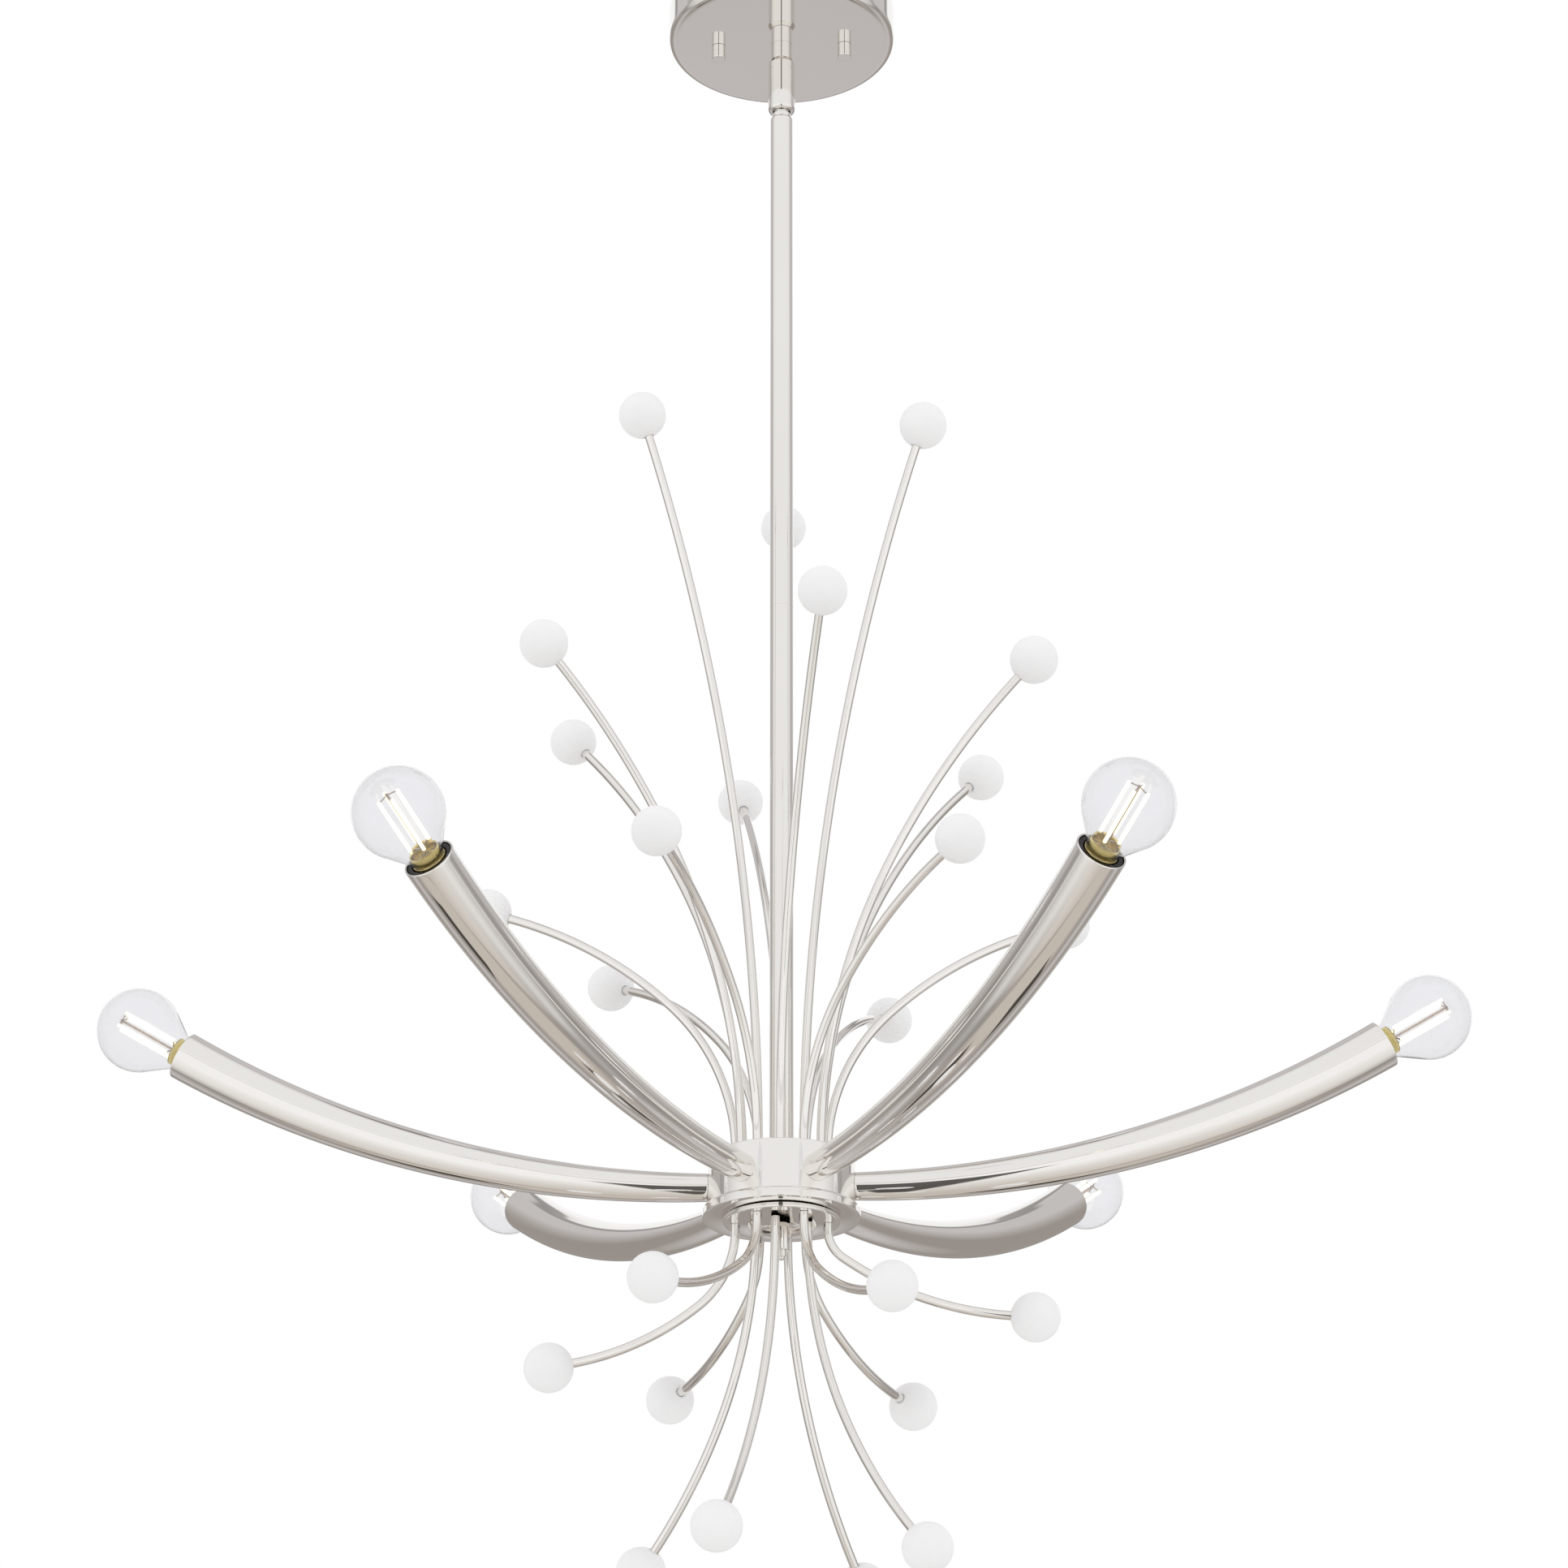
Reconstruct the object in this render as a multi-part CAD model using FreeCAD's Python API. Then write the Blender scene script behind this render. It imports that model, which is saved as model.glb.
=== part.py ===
import FreeCAD, Part
import math
import os

# Sputnik chandelier, six up-curved arms with globe bulbs and a spray of thin
# stems that end in frosted balls, hung on a rod from a round ceiling canopy.
# Millimetres, +Z up. The origin is the middle of the ceiling plane.
# Azimuths are in degrees from the front (-Y), positive towards +X.

V = FreeCAD.Vector
UP = V(0, 0, 1)

# ---------------------------------------------------------------- clearances
THREAD_GAP = 0.05          # radial, screwed or pressed pieces
TURN_GAP = 0.08            # radial, pieces that turn on each other
END_GAP = 0.1              # axial, between faces that turn on each other
BULB_GAP = 0.35            # radial, bulb cap in its lampholder

# ---------------------------------------------------------- ceiling canopy
CANOPY_R = 76.2
CANOPY_H = 25.0
CANOPY_WALL = 1.2
CANOPY_EDGE_R = 5.0

BAR_T = 2.5
BAR_STUD_L = 100.0         # length of the bar's arm that carries the studs, on X
BAR_STUD_W = 20.0
BAR_BOX_L = 116.0          # length of the arm that is screwed to the box, on Y
BAR_BOX_W = 22.0
BAR_CORNER_R = 4.0
BOX_HOLE_SPACING = 88.9
BOX_SLOT_L = 14.0
BOX_SLOT_R = 2.4
STUD_SPACING = 85.0
STUD_R = 2.0
STUD_TOP_SINK = 0.3        # stud and screw ends stay under the bar's top face
STUD_HOLE_R = 2.3
STUD_NUT_AF = 7.0
STUD_NUT_T = 3.2
GROUND_SCREW_X = 26.0
GROUND_HEAD_R = 4.0
GROUND_HEAD_T = 2.4

THUMB_R = 4.75
THUMB_L = 10.0
THUMB_CAP_T = 2.0          # closed end under the thread
THUMB_EDGE_R = 0.5

# ------------------------------------------------------- neck and swivel
NIPPLE_R = 5.0
NIPPLE_BORE_R = 3.2
NIPPLE_UP = 13.0           # length that stands above the canopy's floor
NIPPLE_NUT_AF = 14.0
NIPPLE_NUT_T = 4.0
NECK_R = 7.2
NECK_L = 12.0
BARREL_R = 9.0
BARREL_L = 40.5
BARREL_SHOULDER = 3.4
BARREL_EDGE_R = 3.0
BARREL_BORE_R = 7.0
BARREL_CEILING = 5.5       # from the barrel's top to the top of its bore
BARREL_MOUTH_R = 6.0
KEEPER_R = 6.7
KEEPER_T = 4.0
SWIVEL_BALL_R = 6.4
SWIVEL_BALL_UP = 6.0       # ball centre above the barrel's lower face
BALL_NECK_R = 3.4
COLLAR_R = 6.15
COLLAR_GAP = 1.3
COLLAR_L = 3.2
SPIGOT_R = 4.95
SPIGOT_L = 13.0
WIRE_BORE_R = 2.4
GRUB_R = 0.7
GRUB_L = 1.4
GRUB_UP = 5.0

# ------------------------------------------------------------------- rod
ROD_R = 7.55
ROD_WALL = 1.2
ROD_UPPER_L = 363.0
ROD_LOWER_L = 370.6
ROD_PLUG_L = 14.0          # thick end of each rod
ROD_EDGE_R = 2.0
COUPLING_L = 40.0
COUPLING_BORE_R = 4.5

# ------------------------------------------------------------------- hub
HUB_R = 45.0
HUB_H = 30.7
HUB_WALL = 1.5
HUB_TOP_T = 2.0
HUB_EDGE_R = 0.8
PAN_R = 48.0
PAN_H = 6.6
PAN_FLOOR = 2.0
PAN_EDGE_R = 2.5
PAN_LIP_W = 1.5
PAN_LIP_H = 2.0
DISC_R = 35.3
DISC_T = 3.0
DISC_EDGE_R = 0.8
HUB_NIPPLE_R = 4.0
HUB_NIPPLE_UP = 10.0
HUB_NIPPLE_DOWN = 6.0
HUB_NIPPLE_SIDE_HOLE_R = 1.8
HUB_NUT_AF = 13.0
HUB_NUT_T = 3.0
FINIAL_R = 5.0
FINIAL_L = 17.0
FINIAL_TIP_R = 3.0
FINIAL_TIP_L = 4.0
FINIAL_KNOB_R = 2.0

# ------------------------------------------------------------------ arms
ARM_AZIMUTHS = (30, 90, 150, -150, -90, -30)
ARM_DROP = 16.9            # arm axis under the hub's top face, at the hub
ARM_ARC_R = 637.6
ARM_TURN = 30.5            # degrees that the arm has turned up by at its mouth
ARM_ROOT_D = 17.4
ARM_MOUTH_D = 30.2
ARM_SWELL = 0.18           # how much sooner than a plain cone the arm widens
ARM_WALL = 1.2
ARM_STATIONS = 7
ARM_SOLID_L = 12.0         # solid root
ARM_TAIL_R = 5.0
ARM_TAIL_L = 9.0
ARM_WIRE_R = 3.0
ARM_NUT_AF = 13.0
ARM_NUT_T = 3.5

# ----------------------------------------------------------- lampholders
HOLDER_DEPTH = 0.8         # lampholder's front under the arm's mouth
HOLDER_RING_R = 13.5
HOLDER_RING_T = 4.0
HOLDER_BODY_R = 12.0
HOLDER_L = 31.0
HOLDER_RECESS_L = 6.7
HOLDER_BORE_L = 26.0

# ----------------------------------------------------------------- bulbs
BULB_R = 26.0
BULB_REACH = 33.0          # globe centre beyond the arm's mouth
BULB_WALL = 0.8
BULB_NECK_R = 9.8
BULB_NECK_Z = 1.4          # where the neck opens into the globe's cone
BULB_FOOT_Z = -0.5         # the glass's foot, on the cap's collar
CAP_COLLAR_R = 10.0
CAP_COLLAR_L = 3.0
CAP_TAPER_L = 3.0
CAP_R = 6.0
CAP_L = 13.5
CAP_CONE_L = 2.5
CAP_CONTACT_R = 2.2
CAP_CONTACT_L = 1.5
MOUNT_BASE_R = 4.6         # glass mount inside the bulb
MOUNT_FLARE_L = 5.0
MOUNT_TUBE_R = 1.8
MOUNT_TUBE_L = 8.5
MOUNT_ROD_R = 0.8
FILAMENT_COUNT = 4
FILAMENT_R = 1.1
FILAMENT_RING_R = 6.2
FILAMENT_LOW_Z = 9.0       # over the arm's mouth
FILAMENT_L = 36.0
LEAD_R = 0.4
LEAD_RISE = 1.5            # how far the leads slant between mount and filaments

# ------------------------------------------------------- stems and balls
STEM_R = 2.75
STEM_LEAD = 4.0            # straight length at the root
STEM_TAIL_R = 2.0
STEM_TAIL_IN = 0.5         # threaded tail stands this far past its plate
STEM_LEVELLING = 0.3       # how much a wide stem flattens towards its ball
STEM_WIDE = 64.0           # degrees from upright at which that is reached
STEM_SPLIT = 0.6           # share of the turn that the tighter first arc takes
BALL_R = 15.0
BALL_SEAT = 6.0            # depth that the stem goes into its ball
BALL_GLUE_GAP = 0.15       # all round the stem in its ball
OUTER_RING_R = 28.0
INNER_RING_R = 16.0

# One row per stem: azimuth of its root, then its ball's azimuth, its ball's
# distance from the axis, and its ball's height over the hub or depth under it.
TIERS = {
    "top": (INNER_RING_R, +1, (
        (-60, -58, 103, 482),
        (60, 62, 104, 475),
        (180, 181, 104, 479))),
    "upper": (OUTER_RING_R, +1, (
        (0, 11, 153, 311),
        (60, 71, 168, 307),
        (120, 132, 172, 300),
        (180, 191, 170, 306),
        (-120, -123, 166, 318),
        (-60, -60, 167, 309))),
    "middle": (OUTER_RING_R, +1, (
        (30, 40, 171, 156),
        (90, 96, 178, 158),
        (150, 158, 175, 148),
        (-150, -136, 164, 156),
        (-90, -94, 185, 168),
        (-30, -24, 170, 153))),
    "lower": (OUTER_RING_R, -1, (
        (30, 30, 134, 73),
        (90, 90, 152, 59),
        (150, 147, 144, 81),
        (-150, -150, 147, 74),
        (-90, -88, 139, 89),
        (-30, -31, 137, 67))),
    "bottom": (INNER_RING_R, -1, (
        (80, 60, 99, 210),
        (168, 152, 100, 202),
        (-100, -119, 98, 201),
        (-12, -20, 100, 207))),
}

# -------------------------------------------------------- derived heights
CANOPY_FLOOR_Z = -CANOPY_H + CANOPY_WALL
NECK_END_Z = -CANOPY_H - NECK_L
BARREL_TOP_Z = NECK_END_Z - END_GAP
BARREL_END_Z = NECK_END_Z - BARREL_L
SWIVEL_Z = BARREL_END_Z + SWIVEL_BALL_UP
COLLAR_TOP_Z = BARREL_END_Z - COLLAR_GAP
ROD_TOP_Z = COLLAR_TOP_Z - COLLAR_L
ROD_JOINT_Z = ROD_TOP_Z - ROD_UPPER_L
HUB_TOP_Z = ROD_JOINT_Z - ROD_LOWER_L
HUB_END_Z = HUB_TOP_Z - HUB_H
PAN_END_Z = HUB_END_Z - PAN_H
DISC_END_Z = PAN_END_Z - DISC_T
ARM_Z = HUB_TOP_Z - ARM_DROP
ROD_BORE_R = ROD_R - ROD_WALL
TURN = math.radians(ARM_TURN)
MOUTH_R = HUB_R + ARM_ARC_R * math.sin(TURN)
MOUTH_Z = ARM_Z + ARM_ARC_R * (1 - math.cos(TURN))


# ---------------------------------------------------------------- helpers
def save(shape, node):
    """Write one node's solid, or its group of solids, as a STEP file."""
    shape.exportStep("parts/" + node + ".step")


def polar(radius, azimuth, z):
    """Point at a distance from the axis, an azimuth from the front, a height."""
    angle = math.radians(azimuth)
    return V(radius * math.sin(angle), -radius * math.cos(angle), z)


def cylinder(radius, low, high, centre=V(0, 0, 0)):
    """Upright cylinder between two heights."""
    return Part.makeCylinder(radius, high - low, V(centre.x, centre.y, low))


def tube(outer, inner, low, high):
    """Upright pipe about the Z axis."""
    return cylinder(outer, low, high).cut(cylinder(inner, low - 1, high + 1))


def hex_prism(across_flats, low, high, bore, centre=V(0, 0, 0)):
    """Upright hexagonal nut with a round bore."""
    corner = across_flats / math.sqrt(3)
    points = []
    for k in range(7):
        angle = math.radians(60 * k)
        points.append(V(centre.x + corner * math.cos(angle), centre.y + corner * math.sin(angle), low))
    prism = Part.Face(Part.makePolygon(points)).extrude(V(0, 0, high - low))
    return prism.cut(cylinder(bore, low - 1, high + 1, centre))


def revolve(edges):
    """Solid of revolution about Z from the edges of an outline in the XZ plane."""
    return Part.Face(Part.Wire(Part.__sortEdges__(edges))).revolve(V(0, 0, 0), UP, 360)


def outline(points):
    """Straight edges joining (radius, height) points, closed along the last one."""
    corners = [V(r, 0, z) for r, z in points]
    closed = corners + [corners[0]]
    return [Part.LineSegment(a, b).toShape() for a, b in zip(closed[:-1], closed[1:])]


def rod_between(start, end, radius):
    """Round rod from one point to another."""
    axis = end - start
    return Part.makeCylinder(radius, axis.Length, start, axis)


def round_edges_at(shape, z, radius_of_edge, fillet):
    """Fillet the round edge that lies at a height and a distance from the axis."""
    edges = []
    for edge in shape.Edges:
        box = edge.BoundBox
        flat = abs(box.ZMin - z) < 1e-4 and abs(box.ZMax - z) < 1e-4
        if flat and abs(box.XMax - radius_of_edge) < 1e-3:
            edges.append(edge)
    return shape.makeFillet(fillet, edges)


def on_arm(shape, azimuth):
    """Move a solid built on +Z, its zero at an arm's mouth, to that arm's mouth."""
    moved = shape.copy()
    moved.rotate(V(0, 0, 0), V(0, 1, 0), 90 - ARM_TURN)
    moved.translate(V(MOUTH_R, 0, MOUTH_Z))
    moved.rotate(V(0, 0, 0), UP, azimuth - 90)
    return moved


# ----------------------------------------------------------------- canopy
def canopy_dish():
    """Spun dish, open to the ceiling, with the nipple's and studs' holes."""
    dish = cylinder(CANOPY_R, -CANOPY_H, 0)
    dish = round_edges_at(dish, -CANOPY_H, CANOPY_R, CANOPY_EDGE_R)
    inside_r = CANOPY_R - CANOPY_WALL
    inside = cylinder(inside_r, CANOPY_FLOOR_Z, 1)
    inside = round_edges_at(inside, CANOPY_FLOOR_Z, inside_r, CANOPY_EDGE_R - CANOPY_WALL)
    dish = dish.cut(inside)
    dish = dish.cut(cylinder(NIPPLE_R + THREAD_GAP, -CANOPY_H - 1, 0))
    for side in (-1, 1):
        hole = cylinder(STUD_HOLE_R, -CANOPY_H - 1, 0, V(side * STUD_SPACING / 2, 0, 0))
        dish = dish.cut(hole)
    return dish


def bar_arm(length_x, length_y):
    """One arm of the mounting bar, its corners rounded, its top at the ceiling."""
    arm = Part.makeBox(length_x, length_y, BAR_T, V(-length_x / 2, -length_y / 2, -BAR_T))
    corners = [e for e in arm.Edges if e.BoundBox.ZLength > BAR_T / 2]
    return arm.makeFillet(BAR_CORNER_R, corners)


def mounting_bar():
    """Cross-shaped ceiling bar with slots for the outlet box's screws."""
    bar = bar_arm(BAR_STUD_L, BAR_STUD_W).fuse(bar_arm(BAR_BOX_W, BAR_BOX_L)).removeSplitter()
    for side in (-1, 1):
        bar = bar.cut(cylinder(STUD_R + THREAD_GAP, -BAR_T - 1, 1, V(side * STUD_SPACING / 2, 0, 0)))
        half_run = BOX_SLOT_L / 2 - BOX_SLOT_R
        middle = side * BOX_HOLE_SPACING / 2
        slot = Part.makeBox(2 * BOX_SLOT_R, 2 * half_run, BAR_T + 2,
                            V(-BOX_SLOT_R, middle - half_run, -BAR_T - 1))
        for end in (-1, 1):
            slot = slot.fuse(cylinder(BOX_SLOT_R, -BAR_T - 1, 1, V(0, middle + end * half_run, 0)))
        bar = bar.cut(slot)
    return bar.cut(cylinder(STUD_R + THREAD_GAP, -BAR_T - 1, 1, V(GROUND_SCREW_X, 0, 0)))


def canopy_studs():
    """The two studs that hang from the bar and carry the canopy."""
    low = -CANOPY_H - THUMB_L + THUMB_CAP_T + END_GAP + STUD_TOP_SINK
    studs = [cylinder(STUD_R, low, -STUD_TOP_SINK, V(side * STUD_SPACING / 2, 0, 0)) for side in (-1, 1)]
    return Part.makeCompound(studs)


def stud_nuts():
    """Lock nuts that hold the studs in the bar."""
    nuts = []
    for side in (-1, 1):
        centre = V(side * STUD_SPACING / 2, 0, 0)
        nuts.append(hex_prism(STUD_NUT_AF, -BAR_T - STUD_NUT_T, -BAR_T, STUD_R + THREAD_GAP, centre))
    return Part.makeCompound(nuts)


def ground_screw():
    """Pan-head screw for the ground wire, driven up into the bar."""
    at = V(GROUND_SCREW_X, 0, 0)
    head = cylinder(GROUND_HEAD_R, -BAR_T - GROUND_HEAD_T, -BAR_T, at)
    return head.fuse(cylinder(STUD_R, -BAR_T, -STUD_TOP_SINK, at))


def thumb_nut(side):
    """Plain round cap nut under the canopy, closed at its lower end."""
    centre = V(side * STUD_SPACING / 2, 0, 0)
    low = -CANOPY_H - THUMB_L
    nut = cylinder(THUMB_R, low, -CANOPY_H - END_GAP)
    nut = round_edges_at(nut, low, THUMB_R, THUMB_EDGE_R)
    nut = nut.cut(cylinder(STUD_R + THREAD_GAP, low + THUMB_CAP_T, 0))
    nut.translate(centre)
    return nut


# --------------------------------------------------------- neck and swivel
def keeper_top():
    """Height of the face that the barrel turns on."""
    return BARREL_TOP_Z - BARREL_CEILING - END_GAP


def canopy_nipple():
    """Threaded pipe from inside the canopy down into the barrel."""
    return tube(NIPPLE_R, NIPPLE_BORE_R, keeper_top() - KEEPER_T, CANOPY_FLOOR_Z + NIPPLE_UP)


def swivel_barrel():
    """Turning barrel with a coned shoulder and a ball seat in its lower lip."""
    shoulder_z = BARREL_TOP_Z - BARREL_SHOULDER
    barrel = revolve(outline([(0, BARREL_TOP_Z), (NECK_R, BARREL_TOP_Z), (BARREL_R, shoulder_z),
                              (BARREL_R, BARREL_END_Z), (0, BARREL_END_Z)]))
    barrel = round_edges_at(barrel, BARREL_END_Z, BARREL_R, BARREL_EDGE_R - 0.05)
    barrel = barrel.cut(cylinder(NIPPLE_R + TURN_GAP, SWIVEL_Z, 0))
    barrel = barrel.cut(cylinder(BARREL_BORE_R, SWIVEL_Z, BARREL_TOP_Z - BARREL_CEILING))
    barrel = barrel.cut(Part.makeSphere(SWIVEL_BALL_R + TURN_GAP, V(0, 0, SWIVEL_Z)))
    barrel = barrel.cut(cylinder(BARREL_MOUTH_R, BARREL_END_Z - 1, SWIVEL_Z))
    hole = Part.makeCylinder(GRUB_R + THREAD_GAP, GRUB_L, V(0, GRUB_L - BARREL_R, BARREL_END_Z + GRUB_UP), V(0, -1, 0))
    return barrel.cut(hole)


def barrel_screw():
    """Small grub screw in the barrel's side."""
    sunk = 0.2
    start = V(0, GRUB_L - BARREL_R, BARREL_END_Z + GRUB_UP)
    return Part.makeCylinder(GRUB_R, GRUB_L - sunk, start, V(0, -1, 0))


def ball_stem():
    """Swivel ball with its neck, collar and spigot, bored for the wires."""
    stem = Part.makeSphere(SWIVEL_BALL_R, V(0, 0, SWIVEL_Z))
    stem = stem.fuse(cylinder(BALL_NECK_R, COLLAR_TOP_Z, SWIVEL_Z))
    stem = stem.fuse(cylinder(COLLAR_R, ROD_TOP_Z, COLLAR_TOP_Z))
    stem = stem.fuse(cylinder(SPIGOT_R, ROD_TOP_Z - SPIGOT_L, ROD_TOP_Z))
    return stem.cut(cylinder(WIRE_BORE_R, ROD_TOP_Z - SPIGOT_L - 1, SWIVEL_Z + SWIVEL_BALL_R + 1))


# -------------------------------------------------------------------- rod
def rod_upper():
    """Upper rod, thick at its rounded top where the spigot screws in."""
    rod = cylinder(ROD_R, ROD_JOINT_Z, ROD_TOP_Z)
    rod = round_edges_at(rod, ROD_TOP_Z, ROD_R, ROD_EDGE_R)
    rod = rod.cut(cylinder(SPIGOT_R + THREAD_GAP, ROD_TOP_Z - ROD_PLUG_L, ROD_TOP_Z + 1))
    return rod.cut(cylinder(ROD_BORE_R, ROD_JOINT_Z - 1, ROD_TOP_Z - ROD_PLUG_L))


def rod_coupling():
    """Sleeve inside the joint of the two rods."""
    outer = ROD_BORE_R - THREAD_GAP
    return tube(outer, COUPLING_BORE_R, ROD_JOINT_Z - COUPLING_L / 2, ROD_JOINT_Z + COUPLING_L / 2)


def rod_lower():
    """Lower rod, thick at its foot where the hub's nipple screws in."""
    rod = cylinder(ROD_R, HUB_TOP_Z, ROD_JOINT_Z)
    rod = rod.cut(cylinder(HUB_NIPPLE_R + THREAD_GAP, HUB_TOP_Z - 1, HUB_TOP_Z + ROD_PLUG_L))
    return rod.cut(cylinder(ROD_BORE_R, HUB_TOP_Z + ROD_PLUG_L, ROD_JOINT_Z + 1))


# -------------------------------------------------------------------- hub
def stem_holes(plate, sign, low, high):
    """Drill one plate for the tails of the stems that stand on that side."""
    for ring_r, side, rows in TIERS.values():
        if side != sign:
            continue
        for row in rows:
            plate = plate.cut(cylinder(STEM_TAIL_R + THREAD_GAP, low, high, polar(ring_r, row[0], 0)))
    return plate


def hub_drum():
    """Drum, open below, with six arm holes in its wall and the stems' in its top."""
    drum = cylinder(HUB_R, HUB_END_Z, HUB_TOP_Z)
    drum = round_edges_at(drum, HUB_TOP_Z, HUB_R, HUB_EDGE_R)
    drum = drum.cut(cylinder(HUB_R - HUB_WALL, HUB_END_Z - 1, HUB_TOP_Z - HUB_TOP_T))
    drum = drum.cut(cylinder(HUB_NIPPLE_R + THREAD_GAP, HUB_TOP_Z - HUB_TOP_T - 1, HUB_TOP_Z + 1))
    for azimuth in ARM_AZIMUTHS:
        hole = rod_between(polar(HUB_R / 2, azimuth, ARM_Z), polar(HUB_R + 1, azimuth, ARM_Z), ARM_TAIL_R + THREAD_GAP)
        drum = drum.cut(hole)
    return stem_holes(drum, +1, HUB_TOP_Z - HUB_TOP_T - 1, HUB_TOP_Z + 1)


def hub_pan():
    """Turned flange that closes the drum, its inner lip seated in the drum."""
    lip_r = HUB_R - HUB_WALL - THREAD_GAP
    pan = cylinder(PAN_R, PAN_END_Z, HUB_END_Z)
    pan = round_edges_at(pan, HUB_END_Z, PAN_R, PAN_EDGE_R)
    pan = pan.fuse(cylinder(lip_r, HUB_END_Z, HUB_END_Z + PAN_LIP_H))
    pan = pan.cut(cylinder(lip_r - PAN_LIP_W, PAN_END_Z + PAN_FLOOR, HUB_TOP_Z))
    return pan.cut(cylinder(HUB_NIPPLE_R + THREAD_GAP, PAN_END_Z - 1, HUB_TOP_Z))


def hub_disc():
    """Lower disc, tapped for the stems that hang under the hub."""
    disc = cylinder(DISC_R, DISC_END_Z, PAN_END_Z)
    disc = round_edges_at(disc, DISC_END_Z, DISC_R, DISC_EDGE_R)
    disc = disc.cut(cylinder(HUB_NIPPLE_R + THREAD_GAP, DISC_END_Z - 1, PAN_END_Z + 1))
    return stem_holes(disc, -1, DISC_END_Z - 1, PAN_END_Z + 1)


def hub_nipple():
    """Threaded pipe through the hub, with a side hole that lets the wires out."""
    pipe = tube(HUB_NIPPLE_R, WIRE_BORE_R, DISC_END_Z - HUB_NIPPLE_DOWN, HUB_TOP_Z + HUB_NIPPLE_UP)
    middle = V(0, -HUB_NIPPLE_R, (HUB_TOP_Z + HUB_END_Z) / 2)
    return pipe.cut(Part.makeCylinder(HUB_NIPPLE_SIDE_HOLE_R, 2 * HUB_NIPPLE_R, middle, V(0, 1, 0)))


def hub_nut():
    """Nut that clamps the drum's top against the rod."""
    top = HUB_TOP_Z - HUB_TOP_T
    return hex_prism(HUB_NUT_AF, top - HUB_NUT_T, top, HUB_NIPPLE_R + THREAD_GAP)


def hub_finial():
    """Sleeve nut under the disc, with a thin tip and a small knob."""
    low = DISC_END_Z - FINIAL_L
    tip_z = low - FINIAL_TIP_L
    finial = cylinder(FINIAL_R, low, DISC_END_Z)
    finial = finial.fuse(cylinder(FINIAL_TIP_R, tip_z, low))
    finial = finial.fuse(Part.makeSphere(FINIAL_KNOB_R, V(0, 0, tip_z)))
    return finial.cut(cylinder(HUB_NIPPLE_R + THREAD_GAP, DISC_END_Z - HUB_NIPPLE_DOWN - 1, DISC_END_Z + 1))


# ------------------------------------------------------------------- arms
def arm_diameter(share):
    """Outer diameter at a share of the arm's length from the hub."""
    widening = (1 + ARM_SWELL) * share - ARM_SWELL * share ** 3
    return ARM_ROOT_D + (ARM_MOUTH_D - ARM_ROOT_D) * widening


def arm_horn(first_share, last_share, wall):
    """Loft through round sections that stand square to the arm's arc."""
    sections = []
    for k in range(ARM_STATIONS):
        share = first_share + (last_share - first_share) * k / (ARM_STATIONS - 1)
        angle = TURN * share
        centre = V(HUB_R + ARM_ARC_R * math.sin(angle), 0, ARM_Z + ARM_ARC_R * (1 - math.cos(angle)))
        along = V(math.cos(angle), 0, math.sin(angle))
        sections.append(Part.Wire(Part.makeCircle(arm_diameter(share) / 2 - wall, centre, along)))
    return Part.makeLoft(sections, True, False)


def arm():
    """One hollow arm towards +X: coped root, threaded tail and open mouth."""
    length = ARM_ARC_R * TURN
    root_in = -6.0 / length
    horn = arm_horn(root_in, 1.0, 0.0)
    horn = horn.cut(cylinder(HUB_R, ARM_Z - ARM_ROOT_D, ARM_Z + ARM_ROOT_D))
    horn = horn.cut(arm_horn(ARM_SOLID_L / length, 1.0 + 2.0 / length, ARM_WALL))
    tail = rod_between(V(HUB_R - ARM_TAIL_L, 0, ARM_Z), V(HUB_R + ARM_SOLID_L / 2, 0, ARM_Z), ARM_TAIL_R)
    wire_way = rod_between(V(0, 0, ARM_Z), V(HUB_R + ARM_SOLID_L + 3, 0, ARM_Z), ARM_WIRE_R)
    return horn.fuse(tail).cut(wire_way)


def arm_nuts():
    """Nuts inside the drum that hold the arms' tails."""
    corner = ARM_NUT_AF / math.sqrt(3)
    inner_r = HUB_R - HUB_WALL
    outer_face = math.sqrt(inner_r ** 2 - corner ** 2) - THREAD_GAP
    nut = hex_prism(ARM_NUT_AF, outer_face - ARM_NUT_T, outer_face, ARM_TAIL_R + THREAD_GAP)
    nut.rotate(V(0, 0, 0), V(0, 1, 0), 90)
    nut.translate(V(0, 0, ARM_Z))
    nuts = []
    for azimuth in ARM_AZIMUTHS:
        turned = nut.copy()
        turned.rotate(V(0, 0, 0), UP, azimuth - 90)
        nuts.append(turned)
    return Part.makeCompound(nuts)


# ----------------------------------------------------- lampholders, bulbs
def lampholder():
    """Moulded lampholder inside the arm's mouth: front ring, recess and bore."""
    front = -HOLDER_DEPTH
    holder = cylinder(HOLDER_RING_R, front - HOLDER_RING_T, front)
    holder = holder.fuse(cylinder(HOLDER_BODY_R, front - HOLDER_L, front - HOLDER_RING_T))
    holder = holder.cut(cylinder(CAP_COLLAR_R + 2 * BULB_GAP, front - HOLDER_RECESS_L, front + 1))
    return holder.cut(cylinder(CAP_R + BULB_GAP, front - HOLDER_BORE_L, front + 1))


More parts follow.
